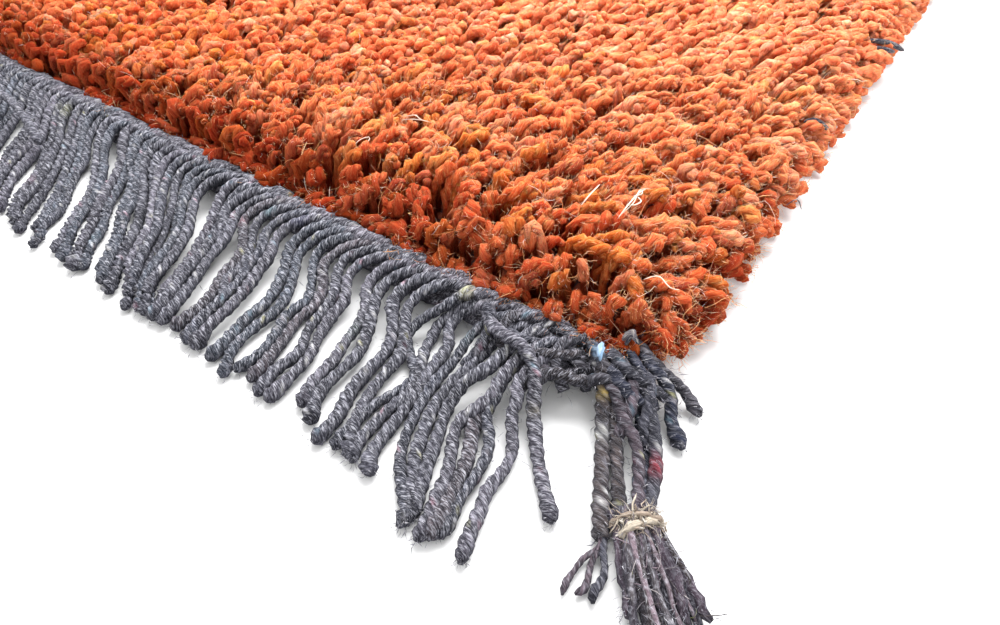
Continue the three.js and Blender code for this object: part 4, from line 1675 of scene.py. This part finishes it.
    def routes(self, rng: Draws) -> Array:
        """Routes of the even cords, two and two drawn together towards their tips.

        A cord sways to +X by a lean that is largest about the middle and smallest towards the tasselled
        corner, it sags back a little after its bend, and it winds by one slow sine wave. Where the lean
        changes, the pairs crowd, and each second pair lies on its neighbours.

        Args:
            rng: The source of random draws.
        Returns:
            Route points in the near end's place, shaped (cords, points, 3).
        """
        pair = np.arange(self.first, self.last, self.spacing)
        count = len(pair)
        route = np.array(self.ROUTE)
        out = route[:, 1]
        lean = 12.0 + 46.0 * fading(pair, 60.0, 172.0) * (0.3 + 0.7 * eased(pair, -290.0, -110.0))
        lean = lean + rng.normal(0.0, 2.4, count)
        bend = 1.05 + 0.4 * eased(pair, 50.0, 150.0)
        sag = 1.0 + 4.5 * eased(pair, 30.0, 110.0) + rng.normal(0.0, 1.5, count)
        phase = rng.uniform(0.0, 2 * np.pi, count)
        wave = rng.uniform(25.0, 36.0, count)
        sway = lean[:, None] * np.clip((out - 8.0) / 62.5, 0.0, 1.0) ** bend[:, None]
        sway = sway - sag[:, None] * np.exp(-(((out - 19.0) / 9.0) ** 2))
        winding = np.sin(2 * np.pi * out / wave[:, None] + phase[:, None])
        sway = sway + rng.uniform(0.8, 2.2, (count, 1)) * eased(out, 12.0, 40.0) * winding
        squeeze = 3.15 - 0.75 * eased(out, 10.0, 34.0)
        middle = np.repeat(pair[:, None] + route[:, 0] + sway, 2, axis=0)
        side = np.tile([-1.0, 1.0], count)[:, None]
        points = np.empty((2 * count, len(route), 3))
        strayed = rng.normal(0.0, 0.55, middle.shape) * eased(out, 6.0, 30.0)
        points[..., 0] = middle + side * squeeze + strayed
        stretch = 1.0 + rng.normal(0.0, 0.03, (2 * count, 1))
        points[..., 1] = -HALF_LENGTH - np.where(out > 12.0, 12.0 + (out - 12.0) * stretch, out)
        crowded = eased(pair, 40.0, 80.0) * fading(pair, 150.0, 185.0) * (np.arange(count) % 2)
        lift = np.repeat(3.4 * crowded + np.abs(rng.normal(0.0, 0.7, count)), 2)
        points[..., 2] = route[:, 2] + lift[:, None] * eased(out, 16.0, 30.0) * fading(out, 58.0, 72.0)
        points[:, -1, 0] += rng.normal(0.0, 2.0, 2 * count)
        return points

    def build(self, material: Material) -> list[Piece]:
        """Build the fringe of one end.

        Args:
            material: The cord's finish.
        Returns:
            The cords' object and their loose fibres' object.
        """
        rng = self.end.draws(self.SEED)
        make = Cords(step=self.end.step)
        mesh = StrandMesh(f"fringe_{self.end.label}_cords", seed=self.SEED, cell_slimness=5.0)
        paths = make.add_to(mesh, half_turned(self.routes(rng), self.end), rng, girth=0.89)
        corner = np.stack([evenly(route, 22) for route in self.CORNER_ROUTES])
        between = np.stack([(corner[first] + corner[second]) / 2 for first, second in self.BETWEEN])
        between[..., 2] = np.maximum(between[..., 2] - 1.6, 2.5)
        corner = np.concatenate([corner, between])
        matted = np.stack([evenly(route, 10) for route in self.MATTED])
        if self.end is End.FAR:
            corner[..., 0] += rng.normal(0.0, 1.6, (len(corner), 1))
            corner[..., :2] += rng.normal(0.0, 0.5, corner[..., :2].shape)
        laid = make.add_to(mesh, half_turned(corner, self.end), rng, girth=0.88)
        # The matted cords get six tenths of the light: painted shade
        dark = Cords(step=self.end.step, lot=TASSEL_DYES, blunt=False, light=0.6)
        mats = dark.add_to(mesh, half_turned(matted, self.end), rng, girth=0.86)
        fuzz = StrandMesh(f"fringe_{self.end.label}_fuzz", seed=self.SEED + 20)
        count = round(self.fibres * self.end.hairiness)
        for cords, share in ((paths, 0.68), (laid, 0.22), (mats, 0.1)):
            cord_fuzz(fuzz, cords, round(share * count), rng)
        return [mesh.build(material), fuzz.build(material)]


@dataclass
class CornerTassel:
    """The cords left over at a corner: knotted together, tied round, and frayed below the tie."""

    end: End
    thickness: float = 4.6
    tie: tuple[float, float, float] = (318.4, -494.8, 4.6)
    tie_width: float = 5.6
    tie_height: float = 4.0
    strands: int = 20
    fray: float = 29.0
    cord_hairs: int = 80
    bundle_hairs: int = 480
    tie_wisps: int = 36
    tie_hairs: int = 220

    SEED = 500
    # The way the tied bundle points along the floor, and the way across it
    AHEAD = np.array([0.69, -0.724, 0.0])
    ACROSS = np.array([0.724, 0.69, 0.0])

    # The cord that splits into its plies before the tie
    LONE: tuple[Route, ...] = (
        ((280, -450, 9), (285, -456, 11), (290.5, -462.5, 10.5), (293.5, -467.5, 8.5), (297, -474, 5.8),
         (301, -481, 3.6), (305.3, -489.1, 2.8), (309, -495.7, 2.8), (312.2, -501.6, 2.6)),
    )
    # Cords that run from the corner into the tie
    TIED: tuple[Route, ...] = (
        ((290.5, -457.5, 10), (294.5, -463, 8.5), (297.5, -468, 7), (302, -475, 5), (306.5, -482.5, 3.6),
         (311, -490, 3.2), (315, -496, 4), (318.5, -501, 4)),
        ((287.5, -460.5, 9), (294.5, -464.5, 12), (298, -467.5, 10.5), (302, -471, 9), (306, -473, 7.5),
         (310, -477.5, 5.8), (313.5, -484, 4.6), (317.5, -491.5, 4.6), (321.5, -498, 4.6)),
        ((290, -449, 8), (294.5, -452, 12), (299.5, -457, 12), (304, -461, 10), (308, -465.5, 8),
         (312, -471.5, 6), (315, -477, 5), (317.5, -484.5, 4.6), (320, -491.5, 5), (325, -498, 5)),
        ((288, -451.5, 8), (292, -454, 12), (296.5, -458, 11), (300.5, -460.5, 8), (304.5, -465, 5),
         (309.5, -472, 3), (313, -480, 3), (317, -489.5, 4), (322, -497, 4)),
    )
    # Cords knotted round the corner before the tassel starts
    KNOTTED: tuple[Route, ...] = (
        ((285.5, -463.5, 5), (287, -464.5, 10), (290, -464.5, 13.2), (293, -463, 12.8), (296, -461, 10),
         (298, -459.5, 6)),
        ((278, -452, 11), (282.5, -455, 13.6), (286, -457.5, 13.8), (289, -459.8, 13), (291.5, -461.5, 10)),
        ((283, -448, 6), (287, -452, 11.5), (292, -455, 13), (297, -455.5, 10.5), (300, -452, 6)),
        ((286, -446, 8), (291, -449.5, 13), (296, -453.5, 13.5), (301, -457, 11), (304, -461, 7.5)),
        ((276, -456.5, 8), (280, -460.5, 11), (284, -461, 9), (287, -458, 6)),
        ((291, -459, 13), (295, -462.5, 13), (299, -463.5, 11.5), (303, -462, 9), (305.5, -458.5, 6)),
        ((293, -453, 9), (297.5, -458.5, 13), (300.5, -464, 11.5), (302, -469.5, 8.5), (301.5, -474, 5.5)),
        ((299, -452.5, 10), (302.5, -457, 12), (305, -462, 10.5), (306.5, -467.5, 7.5), (309.5, -472, 5)),
        ((288.5, -455, 14), (293.5, -458, 15), (298.5, -459, 14), (303.5, -457, 11), (307, -455, 7)),
    )
    # Short cords that stop a little way out
    SHORT: tuple[Route, ...] = (
        ((290, -444.5, 9), (294, -446, 12), (299, -450, 12.5), (304, -451.8, 10.5), (308.5, -454, 7.5),
         (311, -458.5, 4.2), (314.5, -462, 2.6), (318, -465, 2.5)),
        ((288, -442, 9), (293, -445.5, 12.5), (298, -449, 13.5), (302, -449.5, 12), (306.5, -449, 9),
         (311, -448.5, 5.5), (314, -449.5, 3.2), (317.5, -451.5, 2.5)),
    )
    # The three plies into which the lone cord opens
    PLIES: tuple[Route, ...] = (
        ((310.6, -498.5, 2.8), (312.9, -503.2, 2.6), (312.1, -506.1, 2.2), (311.1, -508.5, 1.8),
         (310.9, -512, 1.6), (310.7, -515.5, 1.6), (311.5, -518.9, 1.6)),
        ((311.4, -498.5, 2.8), (313.2, -503.4, 2.4), (313.2, -507.6, 1.9), (314.2, -510.9, 1.6),
         (315, -513.4, 1.6), (314.9, -515.3, 1.6), (313.8, -516.9, 1.6)),
        ((312, -498.5, 2.8), (314.1, -504, 2.6), (316.6, -507.4, 2.2), (317.6, -510.6, 2),
         (317.3, -513.4, 2), (317.6, -515.2, 2), (318.5, -516.6, 2)),
    )
    # The thick soft ends below the tie: start and end across the bundle, height, length share and radius
    CLUMPS = (
        (-0.85, -0.95, 0, 0.72, 1.9), (-0.5, -0.62, 0.3, 1.02, 2.2), (-0.2, -0.3, 0, 0.9, 2.1),
        (0, 0.02, 0.7, 0.76, 1.9), (0.2, 0.3, 0.2, 0.98, 2.3), (0.5, 0.62, 0.6, 0.86, 2.1),
        (0.75, 1.02, 0.1, 0.84, 2.2), (0.6, 0.86, 0, 1, 1.8), (-0.65, -0.82, 0.5, 0.88, 1.7),
    )

    def _below(self, across: Array, height: Array, length: Array, share: Array, rng: Draws) -> Array:
        """Middle lines of strands that leave the tie side by side, fan out and settle on the floor.

        Args:
            across: Place across the bundle at the tie and at the end, from -1 to 1, shaped (strands, 2).
            height: Height in the bundle, from -1 to 1, shaped (strands,).
            length: Length from the tie, shaped (strands,).
            share: Shares of the way along, shaped (stations,).
            rng: The source of random draws.
        Returns:
            The middle lines, shaped (strands, stations, 3).
        """
        ahead = -5.0 + (length[:, None] + 5.0) * share
        fan = across[:, :1] + (across[:, 1:] - across[:, :1]) * share
        width = self.tie_width * (0.86 + 0.75 * share)
        phase = rng.uniform(0.0, 2 * np.pi, (len(across), 1))
        shake = rng.normal(0.0, 0.3, (len(across), len(share)))
        wobble = (0.9 * np.sin(phase + 4.2 * share) + shake) * share
        tie = np.array(self.tie)
        paths = tie + ahead[..., None] * self.AHEAD + (fan * width + wobble)[..., None] * self.ACROSS
        tied = tie[2] + height[:, None] * 3.0
        paths[..., 2] = tied + share * (1.6 + 2.0 * (height[:, None] + 1.0) - tied)
        return half_turned(paths, self.end)

    def _bundle(self, mesh: StrandMesh, rng: Draws) -> None:
        """Add what hangs below the tie: thick soft ends, thinner strands over them, and loose fibres."""
        share = np.linspace(0.0, 1.0, 13)
        table = np.array(self.CLUMPS)
        clumps = self._below(table[:, :2], table[:, 2], self.fray * table[:, 3], share, rng)
        from_end = (1.0 - share) * self.fray
        swell = 1.0 + 0.12 * np.sin(7.0 * share + 6.0 * rng.random((len(table), 1)))
        radii = table[:, 4:] * swell * np.maximum(quarter_arch(from_end + 0.2, 2.4), BLUNT_END)
        keep_above(clumps, radii)
        dyes = BUNDLE_DYES.draw_along(rng, len(table), len(share))
        light = np.broadcast_to(1.0 - 0.5 * share**3, radii.shape)
        turns = share * 0.9
        mesh.add(clumps, radii, dyes, PEANUT, turns, fibre_slope=0.25, light=light, underside=0.3)
        count = self.strands
        around = rng.uniform(0.0, 2 * np.pi, count)
        reach = np.sqrt(rng.uniform(0.0, 1.0, count))
        across = reach * np.cos(around)
        across = np.stack([across, across * rng.uniform(0.9, 1.25, count)], axis=1)
        length = self.fray * rng.uniform(0.5, 1.04, count)
        share = np.linspace(0.0, 1.0, 9)
        strands = self._below(across, np.abs(reach * np.sin(around)) + 0.2, length, share, rng)
        radii = rng.uniform(0.4, 0.9, (count, 1)) * about_one(rng, 0.12, (count, len(share)))
        keep_above(strands, radii)
        dyes = FRAY_DYES.draw_along(rng, count, len(share))
        mesh.add(strands, radii, dyes, fibre_slope=0.35, pointed=True, underside=0.4)
        hairs = round(self.bundle_hairs * self.end.hairiness)
        cord_fuzz(mesh, clumps, hairs, rng, girth=1.9)
        starts = strands[rng.integers(0, count, hairs // 3), rng.integers(2, 8, hairs // 3)]
        pull = half_turned(self.AHEAD + rng.normal(0.0, 0.9, (len(starts), 3)), self.end)
        dyes = FRAY_DYES.draw(rng, len(starts)) * 1.5
        LONG_FIBRES.add_to(mesh, starts, pull, rng.gamma(5.0, 0.8, len(starts)), dyes, rng)

    def _tie(self, mesh: StrandMesh, rng: Draws) -> None:
        """Add the cream tie: two loose turns of thin yarn round the bundle, frayed into wisps on top."""
        angle = np.linspace(-0.5, 2 * np.pi + 0.2, 26)
        shift = np.array([-1.1, 1.2])[:, None]
        lean = np.array([0.9, -1.1])[:, None]
        tie = np.array(self.tie)
        turns = tie + (shift + lean * np.cos(angle))[..., None] * self.AHEAD
        turns = turns + (self.tie_width * np.cos(angle))[..., None] * self.ACROSS
        turns[..., 2] += self.tie_height * np.sin(angle)
        turns = turns + rng.normal(0.0, 0.3, turns.shape)
        radii = 0.95 * about_one(rng, 0.3, turns.shape[:2])
        keep_above(turns, 1.3 * radii)
        dyes = TIE_DYES.draw_along(rng, len(turns), len(angle))
        mesh.add(half_turned(turns, self.end), radii, dyes, underside=0.4)
        hairs = round(self.tie_hairs * self.end.hairiness)
        for count, fibres, reach in ((self.tie_wisps, TIE_WISPS, 0.75), (hairs, SHORT_FIBRES, 0.7)):
            around = rng.uniform(0.1 * np.pi, 0.9 * np.pi, count)
            starts = tie + (self.tie_width * np.cos(around))[:, None] * self.ACROSS
            starts = starts + rng.uniform(-2.6, 2.6, (count, 1)) * self.AHEAD
            starts[:, 2] = tie[2] + 0.4 + self.tie_height * np.sin(around)
            pull = rng.normal(0.0, 1.0, (count, 3)) * [1.0, 1.0, 0.12]
            lengths = reach * rng.gamma(5.0, 1.0, count)
            starts, pull = half_turned(starts, self.end), half_turned(pull, self.end)
            fibres.add_to(mesh, starts, pull, lengths, TIE_DYES.draw(rng, count), rng)

    def build(self, material: Material, stray: Material) -> list[Piece]:
        """Build the tassel of one end.

        Args:
            material: The cord's finish.
            stray: The tie's finish.
        Returns:
            The tassel and its tie.
        """
        rng = self.end.draws(self.SEED)
        mesh = StrandMesh(f"tassel_{self.end.label}", seed=self.SEED, cell_slimness=5.0)
        groups = (
            (self.LONE, 1.12, False, 1.0),
            (self.TIED, 0.86, False, 0.85),
            (self.KNOTTED, 0.8, False, 0.6),
            (self.SHORT, 0.84, True, 1.1),
        )
        for routes, girth, blunt, light in groups:
            points = np.stack([evenly(route, 18) for route in routes])
            make = Cords(self.thickness, step=self.end.step, lot=TASSEL_DYES, blunt=blunt, light=light)
            laid = make.add_to(mesh, half_turned(points, self.end), rng, girth=girth)
            cord_fuzz(mesh, laid, round(self.cord_hairs * len(routes) * self.end.hairiness), rng)
        points = np.stack([evenly(route, 12) for route in self.PLIES])
        thin = Cords(thickness=1.75, step=1.2, lay=7.0, lot=TASSEL_DYES, neps=0.0)
        thin.add_to(mesh, half_turned(points, self.end), rng)
        self._bundle(mesh, rng)
        tie = StrandMesh(f"tie_{self.end.label}", seed=self.SEED + 20)
        self._tie(tie, rng)
        return [mesh.build(material), tie.build(stray)]


@dataclass(frozen=True)
class Bit:
    """A stray bit of fibre or yarn that lies on the pile: its route, radius and colour."""

    route: Route
    radius: float
    colour: Colour


CREAM = linear(246, 226, 204)
NAVY = linear(44, 46, 62)
GREYISH = linear(104, 100, 108)
BLUE = linear(150, 188, 224)
BITS = (
    Bit(((251.6, -412.5, 27.5), (252.4, -407.5, 30), (252, -399.5, 30)), 0.28, CREAM),
    Bit(((266, -413, 28.5), (266.5, -406.5, 31), (266.5, -399, 31.5), (267, -393.5, 30.5)), 0.3, CREAM),
    Bit(((266.4, -411, 29.5), (267.4, -404.5, 31), (266, -397, 31.5), (268.6, -392.5, 30.5)), 0.2, CREAM),
    Bit(((266.6, -407, 31), (268.8, -405.8, 31.5), (269.2, -402.6, 31.3), (267, -401.2, 31.5)), 0.28, CREAM),
    Bit(((265.5, -401.5, 31.2), (267.6, -399.2, 31.6), (266.4, -396.4, 31.3)), 0.24, CREAM),
    Bit(((162, -401.5, 29.5), (167, -400, 31), (171.5, -401.5, 31), (175, -398.5, 29.5)), 0.22, CREAM),
    Bit(((162.5, -403.5, 29), (168.5, -403, 31), (173, -400.5, 30.5)), 0.17, CREAM),
    Bit(((159, -429.5, 26.5), (160, -425, 29), (161, -420.5, 28.5), (163.5, -425.5, 28)), 0.15, CREAM),
    Bit(((286, -434, 27), (290, -432, 29), (294.5, -433.5, 28), (297, -430.5, 26)), 0.2, CREAM),
    Bit(((289, -449.5, 15.5), (290.5, -448.5, 18.5), (293, -448.5, 18)), 1, GREYISH),
    Bit(((290.5, -450.5, 15), (291.5, -449, 18.5), (294.5, -450, 17.5)), 0.8, NAVY),
    Bit(((289.5, -447, 17.5), (291.5, -448, 19.5), (292.5, -450, 18)), 0.7, GREYISH),
    Bit(((284.6, -453.5, 15.2), (285.4, -456.5, 16.4), (286.6, -459.5, 15.4)), 1, BLUE),
    Bit(((285.8, -454.5, 15), (286.4, -457.5, 16), (287.4, -460, 14.8)), 0.7, BLUE),
    Bit(((292.5, -181.5, 20), (300, -179.5, 20.5), (305, -174.5, 18.5), (312, -172, 15.5)), 1.6, NAVY),
    Bit(((295, -185, 18), (302, -182.5, 18), (308, -176.5, 15.5)), 1.4, NAVY),
    Bit(((293, -291.5, 20), (298, -290, 21), (303, -286.5, 17)), 1.7, NAVY),
    Bit(((306, -350, 14.5), (308.5, -345, 15.5), (311.5, -345.5, 12)), 0.22, NAVY),
)


@dataclass
class StrayBits:
    """The stray bits that catch the eye on the pile."""

    bits: tuple[Bit, ...] = BITS
    stations: int = 14

    SEED = 600

    def build(self, material: Material) -> Piece:
        """Build the bits as one mesh of pointed strands."""
        mesh = StrandMesh("stray_bits", seed=self.SEED)
        swell = np.sqrt(np.sin(np.pi * np.linspace(0.08, 0.92, self.stations)))
        for bit in self.bits:
            path = evenly(bit.route, self.stations)[None]
            dye = np.broadcast_to(np.array(bit.colour), path.shape)
            mesh.add(path, bit.radius * swell[None], dye, pointed=True)
        return mesh.build(material)


@dataclass
class Studio:
    """A plain pale floor, soft light and the camera of the photograph.

    Places and sizes are in metres and turns in degrees. The sensor's width is in millimetres, and the
    picture's width and the focal length are in pixels.
    """

    image_width: int = 1000
    camera_place: tuple[float, float, float] = (0.33707, -0.58011, 0.15649)
    pitch_down: float = 43.92
    azimuth: float = 35.39
    focal_pixels: float = 652.3
    sensor: float = 36.0
    clip_start: float = 0.01
    floor_half: float = 3.0
    floor_tone: Colour = (0.86, 0.86, 0.86)
    surround: float = 1.25
    lamp_place: tuple[float, float, float] = (0.12, -0.12, 0.46)
    lamp_aim: tuple[float, float, float] = (0.13, -0.2, 0.0)
    lamp_size: float = 0.5
    lamp_power: float = 7.2

    def camera(self) -> None:
        """Make the camera: its lens is the focal length in pixels, scaled by the sensor and image widths."""
        lens = bpy.data.cameras.new("camera")
        lens.sensor_width = self.sensor
        lens.lens = self.focal_pixels * self.sensor / self.image_width
        lens.clip_start = self.clip_start
        made = placed("camera", lens)
        made.location = self.camera_place
        made.rotation_euler = (math.radians(90.0 - self.pitch_down), 0.0, math.radians(self.azimuth))
        bpy.context.scene.camera = made

    def floor(self) -> None:
        """Make the floor, a wide pale plane."""
        mesh = bpy.data.meshes.new("floor")
        half = self.floor_half
        corners = [(-half, -half, 0), (half, -half, 0), (half, half, 0), (-half, half, 0)]
        mesh.from_pydata(corners, [], [(0, 1, 2, 3)])
        material, shader = blank_material("pale floor")
        set_inputs(shader, base_color=self.floor_tone, roughness=0.8)
        mesh.materials.append(material)
        made = placed("floor", mesh)

    def light(self) -> None:
        """Light the scene with a white surround and one soft round lamp over the rug."""
        world = bpy.data.worlds.new("white surround")
        world.use_nodes = True
        set_inputs(world.node_tree.nodes["Background"], color=(1.0, 1.0, 1.0), strength=self.surround)
        bpy.context.scene.world = world
        lamp = bpy.data.lights.new("soft lamp", "AREA")
        lamp.shape = "DISK"
        lamp.size = self.lamp_size
        lamp.energy = self.lamp_power
        made = placed("soft lamp", lamp)
        made.visible_camera = False
        made.location = self.lamp_place
        aim = np.array(self.lamp_aim) - np.array(self.lamp_place)
        made.rotation_euler = (
            math.atan2(math.hypot(aim[0], aim[1]), -aim[2]),
            0.0,
            math.atan2(aim[1], aim[0]) - math.pi / 2,
        )

    def build(self) -> None:
        """Make the camera, floor and lights, and set how light is turned into screen colour."""
        self.camera()
        self.floor()
        self.light()
        bpy.context.scene.view_settings.view_transform = "Standard"


def ride_and_replace(piece: Piece, slot: YarnSlot, node: str) -> None:
    """Make a piece ride on the rug's body, and hide the frame's node that it stands for."""
    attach(piece, BODY)
    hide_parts(node)


def main() -> None:
    """Build the rug round its frame."""
    logging.basicConfig(level=logging.INFO, format="%(name)s: %(message)s")
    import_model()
    Studio().build()
    wool = spun_material(PILE_FINISH)
    plied = spun_material(PLIED_FINISH)
    cord = spun_material(CORD_FINISH)
    loose = spun_material(TASSEL_FINISH)
    stray = spun_material(STRAY_FINISH)
    ground = WovenGround().build()
    ride_and_replace(ground, YarnSlot.PILE, "knotted_field")
    carried = []
    pile = KnottedPile()
    for piece in [*pile.build(wool, plied), *pile.fuzz(wool), StrayBits().build(stray)]:
        ride_and_replace(piece, YarnSlot.PILE, "knotted_field")
        carried.append(piece)
    for end in End:
        plait = PlaitedEdge(end).build(cord)
        ride_and_replace(plait, YarnSlot.WARP, f"plaited_edge_{end.label}")
        fringe = Fringe(end).build(cord)
        for piece in fringe:
            ride_and_replace(piece, YarnSlot.WARP, f"fringe_{end.label}")
        tassel = CornerTassel(end).build(loose, stray)
        for piece in tassel:
            ride_and_replace(piece, YarnSlot.WARP, f"corner_tassel_{end.label}")
        carried += [plait, *fringe, *tassel]


if __name__ == "__main__":
    main()
